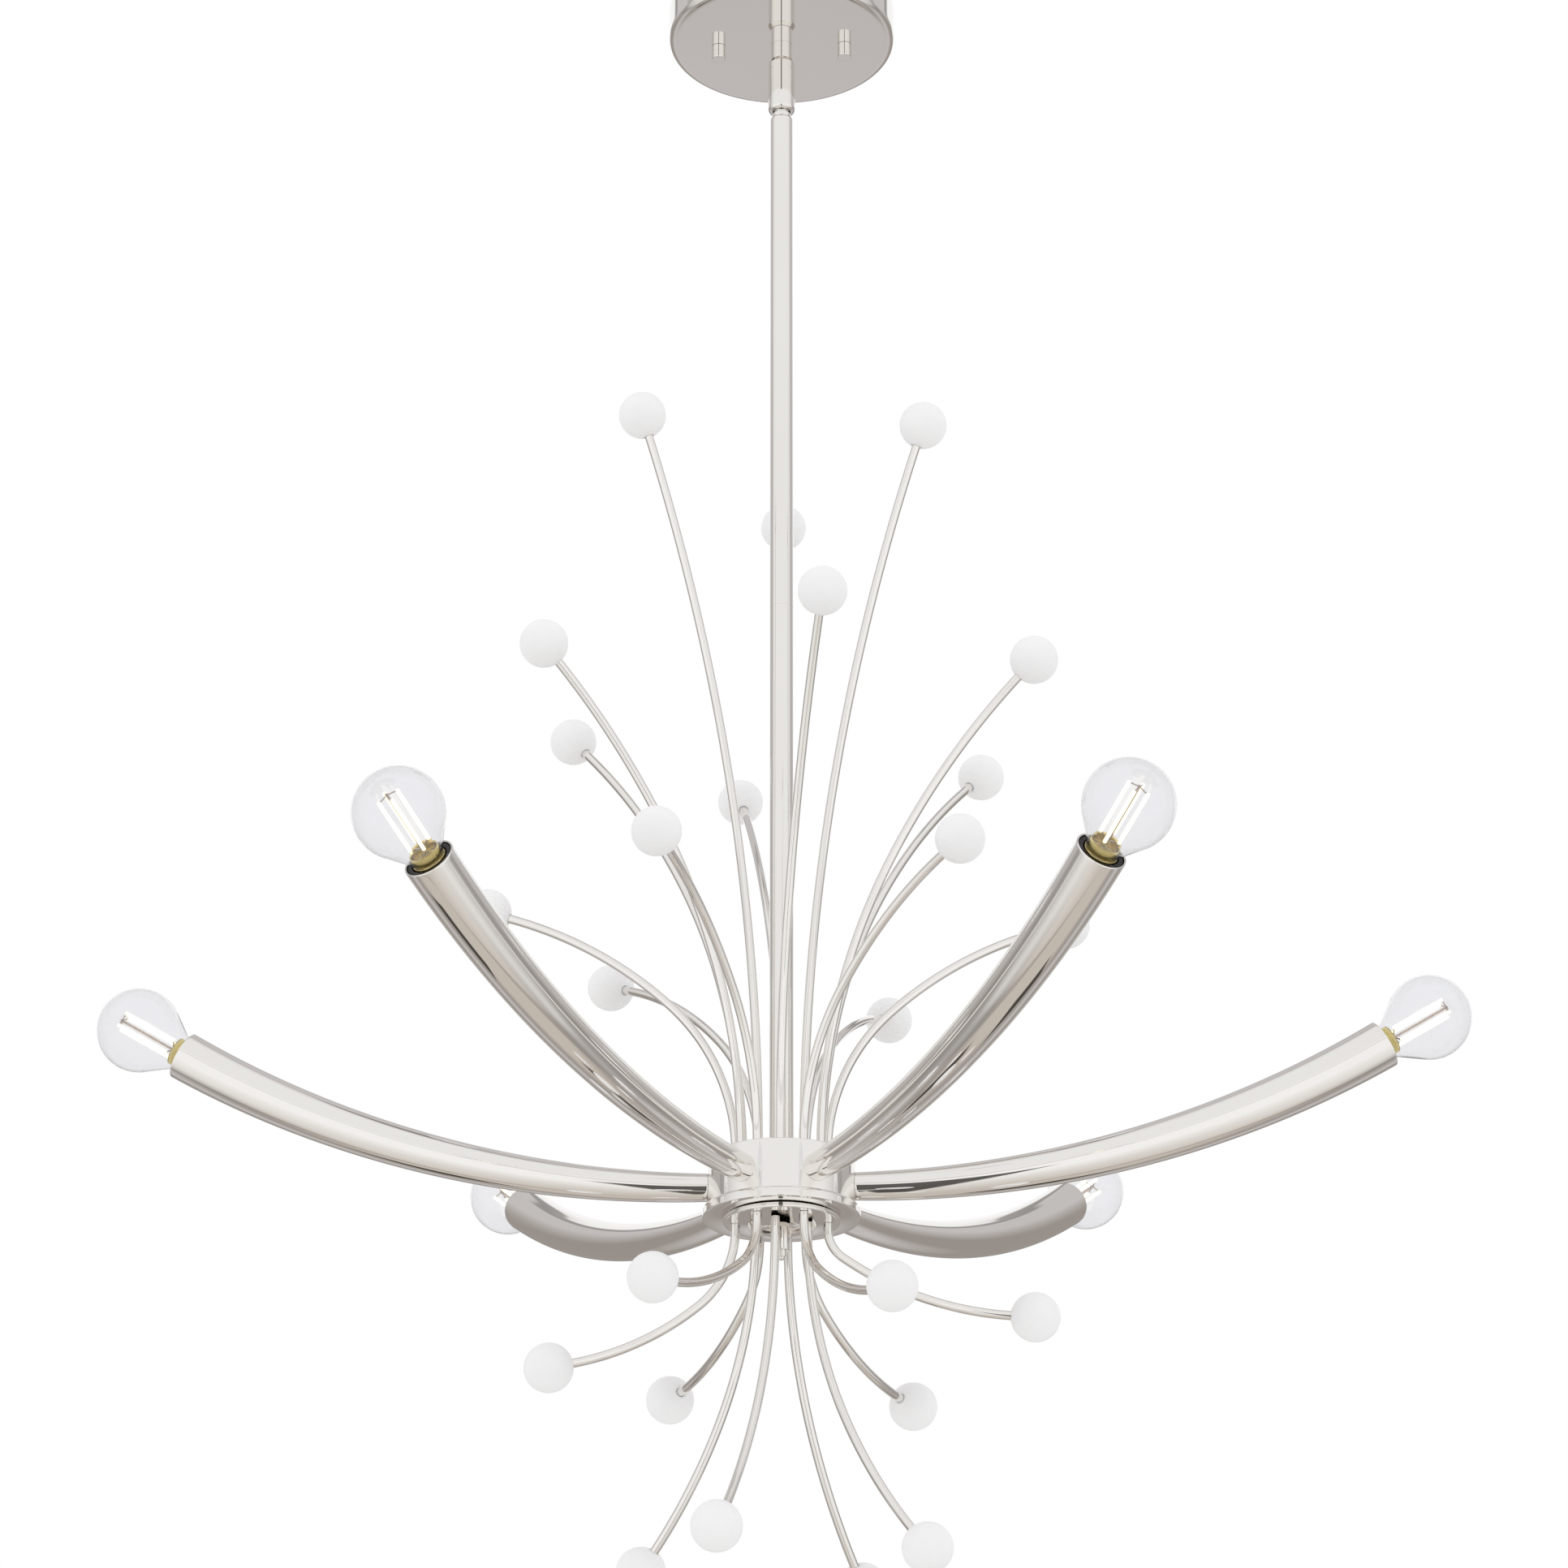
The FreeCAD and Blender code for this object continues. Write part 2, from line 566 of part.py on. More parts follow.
def bulb_envelope(inset, foot_z):
    """Globe that runs into its neck along a tangent cone, drawn in by a wall."""
    globe_r = BULB_R - inset
    neck_r = BULB_NECK_R - inset
    drop = BULB_REACH - BULB_NECK_Z
    tangent = math.atan2(neck_r, drop) + math.acos(globe_r / math.hypot(neck_r, drop))
    top = V(0, 0, BULB_REACH + globe_r)
    widest = V(globe_r, 0, BULB_REACH)
    leaves = V(globe_r * math.sin(tangent), 0, BULB_REACH - globe_r * math.cos(tangent))
    neck = V(neck_r, 0, BULB_NECK_Z)
    foot = V(neck_r, 0, foot_z)
    middle = V(0, 0, foot_z)
    edges = [
        Part.Arc(top, widest, leaves).toShape(),
        Part.LineSegment(leaves, neck).toShape(),
        Part.LineSegment(neck, foot).toShape(),
        Part.LineSegment(foot, middle).toShape(),
        Part.LineSegment(middle, top).toShape(),
    ]
    return revolve(edges)


def bulb_glass():
    """Thin glass envelope, open at its foot where the cap's collar closes it."""
    return bulb_envelope(0.0, BULB_FOOT_Z).cut(bulb_envelope(BULB_WALL, BULB_FOOT_Z - 1))


def bulb_cap():
    """Wide collar, screw cap, insulator cone and centre contact."""
    collar_z = BULB_FOOT_Z - CAP_COLLAR_L
    thread_z = collar_z - CAP_TAPER_L
    cone_z = thread_z - CAP_L
    contact_z = cone_z - CAP_CONE_L
    end_z = contact_z - CAP_CONTACT_L
    return revolve(outline([(0, BULB_FOOT_Z), (CAP_COLLAR_R, BULB_FOOT_Z), (CAP_COLLAR_R, collar_z),
                            (CAP_R, thread_z), (CAP_R, cone_z), (CAP_CONTACT_R, contact_z),
                            (CAP_CONTACT_R, end_z), (0, end_z)]))


def bulb_filament():
    """Glass mount with four upright filaments on their lead wires."""
    tube_z = BULB_FOOT_Z + MOUNT_TUBE_L
    high_z = FILAMENT_LOW_Z + FILAMENT_L
    mount = revolve(outline([(0, BULB_FOOT_Z), (MOUNT_BASE_R, BULB_FOOT_Z),
                             (MOUNT_TUBE_R, BULB_FOOT_Z + MOUNT_FLARE_L), (MOUNT_TUBE_R, tube_z), (0, tube_z)]))
    mount = mount.fuse(cylinder(MOUNT_ROD_R, tube_z - 1, high_z + LEAD_RISE))
    for k in range(FILAMENT_COUNT):
        azimuth = 360 * (k + 0.5) / FILAMENT_COUNT
        low = polar(FILAMENT_RING_R, azimuth, FILAMENT_LOW_Z)
        high = polar(FILAMENT_RING_R, azimuth, high_z)
        mount = mount.fuse(rod_between(low, high, FILAMENT_R))
        mount = mount.fuse(rod_between(V(0, 0, FILAMENT_LOW_Z - LEAD_RISE), low + UP * FILAMENT_R, LEAD_R))
        mount = mount.fuse(rod_between(V(0, 0, high_z + LEAD_RISE / 2), high - UP * FILAMENT_R, LEAD_R))
    return mount


# -------------------------------------------------------- stems and balls
def stem_bend(out, rise):
    """Turn angles and radii of the two arcs from the root to the ball.

    The leans a and b, from upright, follow from how wide the stem spreads:
    out = r1 (1 - cos a) + r2 (cos a - cos b), rise = r1 sin a + r2 (sin b - sin a).
    """
    chord = math.degrees(math.atan2(out, rise))
    end_lean = 2 * chord * (1 - STEM_LEVELLING * (chord / STEM_WIDE) ** 2)
    b = math.radians(end_lean)
    a = b * STEM_SPLIT
    out_1, out_2 = 1 - math.cos(a), math.cos(a) - math.cos(b)
    rise_1, rise_2 = math.sin(a), math.sin(b) - math.sin(a)
    det = out_1 * rise_2 - out_2 * rise_1
    r1 = (out * rise_2 - rise * out_2) / det
    r2 = (rise * out_1 - out * rise_1) / det
    return a, b, r1, r2


def drilled_ball():
    """Ball about its own centre, bored from below for its stem."""
    bore_r = STEM_R + BALL_GLUE_GAP
    bore_end = -BALL_R + BALL_SEAT + BALL_GLUE_GAP
    lip = V(bore_r, 0, -math.sqrt(BALL_R ** 2 - bore_r ** 2))
    top = V(0, 0, BALL_R)
    edges = [
        Part.LineSegment(top, V(0, 0, bore_end)).toShape(),
        Part.LineSegment(V(0, 0, bore_end), V(bore_r, 0, bore_end)).toShape(),
        Part.LineSegment(V(bore_r, 0, bore_end), lip).toShape(),
        Part.Arc(lip, V(BALL_R, 0, 0), top).toShape(),
    ]
    return revolve(edges)


def stem_and_ball(ring_r, side, row):
    """One bent stem with its threaded tail, and the drilled ball on its end."""
    root_azimuth, ball_azimuth, reach, height = row
    face_z = HUB_TOP_Z if side > 0 else DISC_END_Z
    plate_t = HUB_TOP_T if side > 0 else DISC_T
    root = polar(ring_r, root_azimuth, face_z)
    ball_centre = polar(reach, ball_azimuth, face_z + side * height)
    spread = V(ball_centre.x - root.x, ball_centre.y - root.y, 0)
    outward = V(spread).normalize()

    def at(out, rise):
        return root + outward * out + UP * (side * (STEM_LEAD + rise))

    a, b, r1, r2 = stem_bend(spread.Length, height - STEM_LEAD)
    # The arcs are worked out to the ball's centre, then stopped short of it.
    c = b - BALL_R / r2
    out_1 = r1 * (1 - math.cos(a))
    rise_1 = r1 * math.sin(a)

    def first(t):
        return at(r1 * (1 - math.cos(t)), r1 * math.sin(t))

    def second(t):
        return at(out_1 + r2 * (math.cos(a) - math.cos(t)), rise_1 + r2 * (math.sin(t) - math.sin(a)))

    entry = second(c)
    inward = (outward * math.sin(c) + UP * (side * math.cos(c)))
    seat = entry + inward * BALL_SEAT
    path = Part.Wire([
        Part.LineSegment(root, first(0)).toShape(),
        Part.Arc(first(0), first(a / 2), first(a)).toShape(),
        Part.Arc(first(a), second((a + c) / 2), entry).toShape(),
        Part.LineSegment(entry, seat).toShape(),
    ])
    section = Part.Wire(Part.makeCircle(STEM_R, root, UP * side))
    stem = path.makePipeShell([section], True, False)
    tail_l = plate_t + STEM_TAIL_IN if side > 0 else plate_t - STEM_TAIL_IN
    stem = stem.fuse(rod_between(root, root - UP * (side * tail_l), STEM_TAIL_R))
    ball = drilled_ball()
    ball.Placement = FreeCAD.Placement(entry + inward * BALL_R, FreeCAD.Rotation(UP, inward))
    return stem, ball


# ------------------------------------------------------------------ build
os.makedirs("parts", exist_ok=True)

save(canopy_dish(), "canopy_dish")
save(mounting_bar(), "mounting_bar")
save(canopy_studs(), "canopy_studs")
save(stud_nuts(), "stud_nuts")
save(ground_screw(), "ground_screw")
save(canopy_nipple(), "canopy_nipple")
save(hex_prism(NIPPLE_NUT_AF, CANOPY_FLOOR_Z, CANOPY_FLOOR_Z + NIPPLE_NUT_T, NIPPLE_R + THREAD_GAP), "nipple_nut")
save(tube(NECK_R, NIPPLE_R + THREAD_GAP, NECK_END_Z, -CANOPY_H), "neck_sleeve")
save(tube(KEEPER_R, NIPPLE_R + THREAD_GAP, keeper_top() - KEEPER_T, keeper_top()), "swivel_keeper")
save(thumb_nut(-1), "thumb_nut_left")
save(thumb_nut(+1), "thumb_nut_right")
save(swivel_barrel(), "swivel_barrel")
save(barrel_screw(), "barrel_screw")
save(ball_stem(), "ball_stem")
save(rod_upper(), "rod_upper")
save(rod_coupling(), "rod_coupling")
save(rod_lower(), "rod_lower")
save(hub_nipple(), "hub_nipple")
save(hub_nut(), "hub_nut")
save(hub_drum(), "hub_drum")
save(hub_pan(), "hub_pan")
save(hub_disc(), "hub_disc")
save(hub_finial(), "hub_finial")
save(arm_nuts(), "arm_nuts")

one_arm = arm()
one_holder = lampholder()
one_glass = bulb_glass()
one_cap = bulb_cap()
one_filament = bulb_filament()
holders = []
for number, azimuth in enumerate(ARM_AZIMUTHS, start=1):
    turned_arm = one_arm.copy()
    turned_arm.rotate(V(0, 0, 0), UP, azimuth - 90)
    save(turned_arm, "arm_%d" % number)
    save(on_arm(one_glass, azimuth), "bulb_glass_%d" % number)
    save(on_arm(one_cap, azimuth), "bulb_cap_%d" % number)
    save(on_arm(one_filament, azimuth), "bulb_filament_%d" % number)
    holders.append(on_arm(one_holder, azimuth))
save(Part.makeCompound(holders), "lampholders")

for tier, (ring_r, side, rows) in TIERS.items():
    pairs = [stem_and_ball(ring_r, side, row) for row in rows]
    save(Part.makeCompound([stem for stem, ball in pairs]), "stems_" + tier)
    save(Part.makeCompound([ball for stem, ball in pairs]), "balls_" + tier)
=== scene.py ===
import math

import bpy
import numpy as np
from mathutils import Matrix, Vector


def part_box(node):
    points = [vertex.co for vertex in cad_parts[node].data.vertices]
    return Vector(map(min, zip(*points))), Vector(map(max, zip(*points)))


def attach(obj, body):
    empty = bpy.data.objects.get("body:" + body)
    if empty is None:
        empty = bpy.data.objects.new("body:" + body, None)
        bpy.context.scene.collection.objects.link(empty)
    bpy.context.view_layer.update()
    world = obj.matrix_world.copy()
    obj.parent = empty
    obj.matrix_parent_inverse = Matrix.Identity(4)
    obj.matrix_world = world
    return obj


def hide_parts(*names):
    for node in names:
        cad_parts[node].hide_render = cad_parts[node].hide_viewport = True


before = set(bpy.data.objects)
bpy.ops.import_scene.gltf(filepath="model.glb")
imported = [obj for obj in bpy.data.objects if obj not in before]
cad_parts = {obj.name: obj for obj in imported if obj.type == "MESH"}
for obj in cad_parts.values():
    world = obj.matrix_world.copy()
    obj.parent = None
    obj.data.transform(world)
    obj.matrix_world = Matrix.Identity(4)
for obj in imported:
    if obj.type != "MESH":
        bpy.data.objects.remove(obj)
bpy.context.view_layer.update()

# Sputnik chandelier: the visible pieces are worked out again as smooth surfaces
# around the frame, and every piece and hidden fitting gets its finish.
# Metres, +Z up. Azimuths are in degrees from the front (-Y), towards +X.

MM = 0.001
POLE_R = 0.3 * MM              # turned outlines start this far from the axis; a pole closes them
UP = np.array([0.0, 0.0, 1.0])


def corners(node):
    """Lowest and highest corner of a CAD node, as arrays."""
    low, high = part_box(node)
    return np.array(low), np.array(high)


# ----------------------------------------------------------------- sizes
canopy_low, canopy_high = corners("canopy_dish")
neck_low, neck_high = corners("neck_sleeve")
barrel_low, barrel_high = corners("swivel_barrel")
upper_low, upper_high = corners("rod_upper")
lower_low, lower_high = corners("rod_lower")
drum_low, drum_high = corners("hub_drum")
pan_low, pan_high = corners("hub_pan")
disc_low, disc_high = corners("hub_disc")
finial_high = corners("hub_finial")[1]

CANOPY_R, CANOPY_Z = canopy_high[0], canopy_low[2]
CANOPY_WALL, CANOPY_EDGE = 1.2 * MM, 5.0 * MM
NIPPLE_R, HUB_NIPPLE_R, NIPPLE_GAP = 5.0 * MM, 4.0 * MM, 0.05 * MM
NIPPLE_BORE, HUB_BORE = NIPPLE_R + NIPPLE_GAP, HUB_NIPPLE_R + NIPPLE_GAP
BARREL_BORE, BARREL_TOP_T = NIPPLE_R + 0.08 * MM, 5.5 * MM
SWIVEL_BALL_R, BALL_UP, BALL_NECK_R = 6.4 * MM, 6.0 * MM, 3.4 * MM
SEAT_GAP = 0.1 * MM
COLLAR_R, COLLAR_L = 6.15 * MM, 3.2 * MM
SPIGOT_R, SPIGOT_L = 4.95 * MM, 13.0 * MM

PAN_H, PLATE_T, DRUM_WALL = 6.6 * MM, 2.0 * MM, 1.5 * MM
PAN_WELL = 4.6 * MM            # depth of the pan's hollow below its upper edge
DRUM_R, DRUM_TOP, DRUM_END = drum_high[0], drum_high[2], pan_low[2] + PAN_H
DISC_END = disc_low[2]
FINIAL_SLEEVE_L, FINIAL_TIP_L, FINIAL_TIP_R, FINIAL_KNOB_R = 17 * MM, 4 * MM, 3.0 * MM, 2.0 * MM

ARM_AZIMUTHS = (30, 90, 150, -150, -90, -30)
ARM_TURN = math.radians(30.5)
ARM_ARC_R = 637.6 * MM
ARM_Z = DRUM_TOP - 16.9 * MM
ARM_ROOT_D, ARM_MOUTH_D, ARM_SWELL = 17.4 * MM, 30.2 * MM, 0.18
ARM_WALL = 1.2 * MM
ARM_FIRST, ARM_NEXT = 6 * MM, 14 * MM      # the arc's first two rings, from the drum
ARM_LIP_L, ARM_INSIDE_L = 2 * MM, 36 * MM  # back from the mouth: lip, and inner wall's end
MOUTH_R = DRUM_R + ARM_ARC_R * math.sin(ARM_TURN)
MOUTH_Z = ARM_Z + ARM_ARC_R * (1 - math.cos(ARM_TURN))

HOLDER_FRONT, HOLDER_L, HOLDER_BODY_R = -0.8 * MM, 31 * MM, 12.0 * MM
HOLDER_RING_R, HOLDER_RING_T = 13.5 * MM, 4 * MM
HOLDER_RECESS_L, HOLDER_BORE_L = 6.7 * MM, 26 * MM
BULB_R, BULB_REACH, BULB_WALL = 26.0 * MM, 33.0 * MM, 0.8 * MM
BULB_NECK_R, BULB_NECK_Z, BULB_FOOT_Z = 9.8 * MM, 1.4 * MM, -0.5 * MM
BAND_GAP, BAND_T, BAND_TOP = 0.25 * MM, 0.4 * MM, 6.0 * MM
CAP_COLLAR_R, CAP_COLLAR_L, CAP_TAPER_L = 10.0 * MM, 3 * MM, 3 * MM
CAP_R, CAP_L, CAP_CONE_L = 6.0 * MM, 13.5 * MM, 2.5 * MM
CAP_CONTACT_R, CAP_CONTACT_L = 2.2 * MM, 1.5 * MM
THREAD_PITCH, THREAD_DEPTH, THREAD_FADE = 2.6 * MM, 0.55 * MM, 1.5 * MM
MOUNT_BASE_R, MOUNT_FLARE_L = 4.6 * MM, 5 * MM
MOUNT_TUBE_R, MOUNT_TUBE_L = 1.8 * MM, 8.5 * MM
MOUNT_ROD_R, MOUNT_ROD_LOW = 0.8 * MM, 7 * MM
FILAMENT_RING, FILAMENT_LOW, FILAMENT_L, FILAMENT_R = 6.2 * MM, 9.0 * MM, 36.0 * MM, 1.1 * MM
LEAD_R, LEAD_RISE, LEAD_IN = 0.4 * MM, 1.5 * MM, 0.6 * MM

STEM_R, STEM_LEAD, BALL_R = 2.75 * MM, 4.0 * MM, 15.0 * MM
STEM_SPLIT, STEM_LEVELLING, STEM_WIDE = 0.6, 0.3, 64.0
BALL_SEAT, BALL_SIDE_GAP, BALL_END_GAP = 6.0 * MM, 0.08 * MM, 0.15 * MM
OUTER_RING, INNER_RING = 28.0, 16.0

# Ring radius, side (1 up, -1 down), and a row per stem: the root's azimuth, then the
# ball's azimuth, reach from the axis and height above or below its plate. Degrees, mm.
TIERS = {
    "top": (INNER_RING, 1, ((-60, -58, 103, 482), (60, 62, 104, 475), (180, 181, 104, 479))),
    "upper": (OUTER_RING, 1, ((0, 11, 153, 311), (60, 71, 168, 307), (120, 132, 172, 300),
                              (180, 191, 170, 306), (-120, -123, 166, 318), (-60, -60, 167, 309))),
    "middle": (OUTER_RING, 1, ((30, 40, 171, 156), (90, 96, 178, 158), (150, 158, 175, 148),
                               (-150, -136, 164, 156), (-90, -94, 185, 168), (-30, -24, 170, 153))),
    "lower": (OUTER_RING, -1, ((30, 30, 134, 73), (90, 90, 152, 59), (150, 147, 144, 81),
                               (-150, -150, 147, 74), (-90, -88, 139, 89), (-30, -31, 137, 67))),
    "bottom": (INNER_RING, -1, ((80, 60, 99, 210), (168, 152, 100, 202),
                                (-100, -119, 98, 201), (-12, -20, 100, 207))),
}


# ------------------------------------------------------------- shader maths
class Signal:
    """A shader socket; sums and products of signals and numbers add Math nodes."""

    def __init__(self, paint, socket):
        self.paint, self.socket = paint, socket

    def math(self, operation, *others):
        """This signal and the others, as the inputs of one Math node."""
        inputs = dict(enumerate((self,) + others))
        return self.paint.node("ShaderNodeMath", {"operation": operation}, inputs)

    def __add__(self, other):
        return self.math("ADD", other)

    def __sub__(self, other):
        return self.math("SUBTRACT", other)

    def __mul__(self, other):
        return self.math("MULTIPLY", other)

    def __rsub__(self, other):
        return self.math("MULTIPLY_ADD", -1.0, other)

    def __truediv__(self, other):
        return self.math("DIVIDE", other)

    __radd__, __rmul__ = __add__, __mul__

    def ease(self, start, end):
        """0 below start, 1 above end, smooth between; start may be the larger."""
        return self.paint.node("ShaderNodeMapRange", {"interpolation_type": "SMOOTHSTEP"},
                               {0: self, 1: start, 2: end})

    def band(self, middle, half, soft):
        """1 within half a width of the middle, fading to 0 over soft."""
        return (self - middle).math("ABSOLUTE").ease(half + soft, half)


class Paint:
    """The nodes of one material or world."""

    def __init__(self, owner):
        owner.use_nodes = True
        self.tree = owner.node_tree
        self.tree.nodes.clear()

    def node(self, kind, settings=None, inputs=None, out=0):
        """Adds a node: its settings (a ramp's stops among them), then its sockets."""
        made = self.tree.nodes.new(kind)
        for key, value in (settings or {}).items():
            if key == "stops":
                ramp = made.color_ramp
                while len(ramp.elements) < len(value):
                    ramp.elements.new(0.5)
                for element, (place, colour) in zip(ramp.elements, value):
                    element.position = place
                    element.color = (*colour, 1.0)
            else:
                setattr(made, key, value)
        for key, value in (inputs or {}).items():
            if isinstance(value, Signal):
                self.tree.links.new(value.socket, made.inputs[key])
            else:
                made.inputs[key].default_value = value
        return Signal(self, made.outputs[out]) if len(made.outputs) else None

    def place(self):
        """Position on the object, in its own metres."""
        return self.node("ShaderNodeTexCoord", out="Object")

    def noise(self, scale, detail=2.0, rough=0.5, at=None):
        return self.node("ShaderNodeTexNoise", {}, {
            "Vector": at or self.place(), "Scale": scale, "Detail": detail, "Roughness": rough})

    def mix(self, share, first, second):
        """Colour that goes from the first to the second with the share."""
        return self.node("ShaderNodeMix", {"data_type": "RGBA"},
                         {0: share, 6: first, 7: second}, out=2)

    def bump(self, height, distance, strength=1.0):
        """Bump whose height signal stands this many metres deep."""
        return self.node("ShaderNodeBump", {}, {
            "Height": height, "Distance": distance, "Strength": strength})

    def surface(self, **sockets):
        """Principled surface; underscores in the names stand for spaces."""
        named = {key.replace("_", " "): value for key, value in sockets.items()}
        shader = self.node("ShaderNodeBsdfPrincipled", {}, named)
        self.node("ShaderNodeOutputMaterial", {}, {"Surface": shader})


def rgb(red, green, blue):
    """Opaque linear colour."""
    return (red, green, blue, 1.0)


def finish(name):
    """New material and its nodes."""
    material = bpy.data.materials.new(name)
    return material, Paint(material)


def polished_nickel():
    """Mirror-bright warm plate with a faint buffing haze and slight ripple."""
    material, p = finish("polished nickel")
    haze = p.noise(22.0, 3.0, 0.6).ease(0.35, 0.75)
    fine = p.noise(900.0, 2.0)
    tone = p.noise(7.0, 1.0)
    ripple = p.noise(45.0, 1.0)
    p.surface(
        Base_Color=p.mix(tone, rgb(0.86, 0.838, 0.808), rgb(0.90, 0.882, 0.856)),
        Metallic=1.0,
        Roughness=0.02 + 0.03 * haze + 0.012 * fine,
        Normal=p.bump(ripple, 0.000012))
    return material


def plated_steel():
    """Zinc-plated hardware: fine turning lines and blotchy passivation."""
    material, p = finish("plated steel")
    blotch = p.noise(120.0, 4.0, 0.65)
    stretched = p.node("ShaderNodeMapping", {}, {
        "Vector": p.place(), "Scale": (300.0, 300.0, 4000.0)})
    lines = p.noise(1.0, 2.0, at=stretched)
    p.surface(
        Base_Color=p.mix(blotch, rgb(0.50, 0.50, 0.48), rgb(0.70, 0.69, 0.66)),
        Metallic=1.0,
        Roughness=0.26 + 0.18 * blotch,
        Normal=p.bump(lines, 0.00005, 0.6))
    return material


def ground_green():
    """Green-dyed screw, the dye worn thin on the raised parts."""
    material, p = finish("ground green")
    worn = p.noise(400.0, 3.0).ease(0.58, 0.75)
    p.surface(
        Base_Color=p.mix(worn, rgb(0.05, 0.28, 0.09), rgb(0.40, 0.45, 0.36)),
        Metallic=0.6,
        Roughness=0.35 + 0.2 * worn,
        Normal=p.bump(p.noise(900.0), 0.00003))
    return material


def frosted_ball():
    """Etched white acrylic: satin, even and slightly cloudy."""
    material, p = finish("frosted ball")
    cloud = p.noise(60.0, 3.0, 0.55)
    p.surface(
        Base_Color=p.mix(cloud, rgb(0.935, 0.925, 0.935), rgb(0.965, 0.96, 0.965)),
        Roughness=0.55 + 0.08 * cloud,
        Specular_IOR_Level=0.2,
        Normal=p.bump(cloud, 0.00001))
    return material


def black_phenolic():
    """Moulded black, glossy with faint flow marks."""
    material, p = finish("black phenolic")
    flow = p.noise(180.0, 3.0)
    p.surface(
        Base_Color=p.mix(flow, rgb(0.008, 0.008, 0.009), rgb(0.022, 0.021, 0.021)),
        Roughness=0.14 + 0.12 * flow,
        Specular_IOR_Level=0.3,
        Normal=p.bump(flow, 0.00003))
    return material


def clear_glass():
    """Blown bulb glass with a very slight waviness."""
    material, p = finish("clear glass")
    wave = p.noise(40.0, 1.0)
    p.surface(
        Base_Color=rgb(0.915, 0.915, 0.93),
        Roughness=0.0,
        IOR=1.45,
        Transmission_Weight=1.0,
        Normal=p.bump(wave, 0.00001))
    return material


def brass_cap():
    """Lacquered brass with dull and bright patches."""
    material, p = finish("brass cap")
    dull = p.noise(260.0, 3.0)
    p.surface(
        Base_Color=p.mix(dull, rgb(0.72, 0.58, 0.22), rgb(0.90, 0.76, 0.36)),
        Metallic=1.0,
        Roughness=0.22 + 0.16 * dull,
        Normal=p.bump(dull, 0.00003))
    return material


def solder():
    """Dull tin-grey solder and lead wire."""
    material, p = finish("solder")
    grain = p.noise(700.0, 3.0)
    p.surface(
        Base_Color=p.mix(grain, rgb(0.45, 0.38, 0.36), rgb(0.62, 0.55, 0.52)),
        Metallic=0.9,
        Roughness=0.3 + 0.2 * grain,
        Normal=p.bump(grain, 0.00002))
    return material


def filament_glow():
    """Phosphor-coated stick that glows pale warm white."""
    material, p = finish("filament glow")
    grain = p.noise(1500.0, 2.0)
    glow = p.mix(grain, rgb(1.0, 0.90, 0.62), rgb(1.0, 0.96, 0.78))
    p.surface(
        Base_Color=p.mix(grain, rgb(0.95, 0.80, 0.38), rgb(0.98, 0.88, 0.50)),
        Roughness=0.5,
        Emission_Color=glow,
        Emission_Strength=1.3,
        Normal=p.bump(grain, 0.00003))
    return material


NICKEL, STEEL, GREEN = polished_nickel(), plated_steel(), ground_green()
FROST, BLACK, GLASS = frosted_ball(), black_phenolic(), clear_glass()
BRASS, SOLDER, GLOW = brass_cap(), solder(), filament_glow()


# ---------------------------------------------------------------- surfaces
def profile(points, radii, steps=6):
    """Outline of straight runs whose corners are rounded by arcs.

    Each row of points is (distance from the axis, height), with one radius per
    point, 0 for none. Beside each arc a point on the run keeps the run's shading
    flat: arc point = centre + radius * (turn from one run's normal to the other).
    """
    points = np.array(points, float)
    rows = []
    for k, (corner, radius) in enumerate(zip(points, radii)):
        if radius == 0 or k in (0, len(points) - 1):
            rows.append(corner[None])
            continue
        back = points[k - 1] - corner
        on = points[k + 1] - corner
        back_l, on_l = np.linalg.norm(back), np.linalg.norm(on)
        back, on = back / back_l, on / on_l
        half = math.acos(np.clip(back @ on, -1, 1)) / 2
        tangent = radius / math.tan(half)
        middle = corner + (back + on) / np.linalg.norm(back + on) * radius / math.sin(half)
        first = (corner + back * tangent - middle) / radius
        last = (corner + on * tangent - middle) / radius
        turn = math.pi - 2 * half
        share = np.linspace(0, 1, steps + 1)[:, None]
        blend = np.sin((1 - share) * turn) * first + np.sin(share * turn) * last
        arc = middle + radius * blend / math.sin(turn)
        rest = 0.35 * radius
        if tangent + rest < back_l * 0.5:
            rows.append((corner + back * (tangent + rest))[None])
        rows.append(arc)
        if tangent + rest < on_l * 0.5:
            rows.append((corner + on * (tangent + rest))[None])
    return np.concatenate(rows)


def turned(outline, steps=96):
    """Rings of a body turned about Z: (r cos a, r sin a, z) for each outline point."""
    angle = np.linspace(0, 2 * np.pi, steps, endpoint=False)
    radius, height = outline[:, :1], outline[:, 1:]
    return np.stack([radius * np.cos(angle), radius * np.sin(angle), height + 0 * angle], axis=-1)


def skin(rings, looped=False):
    """Points and faces of a grid of rings, closed by a pole at each end or in a loop."""
    rows, steps = rings.shape[:2]
    index = np.arange(rows * steps).reshape(rows, steps)
    below = index if looped else index[:-1]
    above = np.roll(index, -1, axis=0) if looped else index[1:]
    quads = np.stack([below, np.roll(below, -1, 1), np.roll(above, -1, 1), above], -1)
    quads = quads.reshape(-1, 4)
    points = rings.reshape(-1, 3)
    faces = [quads]
    if not looped:
        poles = np.stack([rings[0].mean(0), rings[-1].mean(0)])
        first, last = np.full(steps, len(points)), np.full(steps, len(points) + 1)
        faces.append(np.stack([first, np.roll(index[0], -1), index[0]], -1))
        faces.append(np.stack([last, index[-1], np.roll(index[-1], -1)], -1))
        points = np.concatenate([points, poles])
    return points, faces


def lathed(outline, steps=96, looped=False):
    """Skin of an outline turned about Z."""
    return skin(turned(outline, steps), looped)


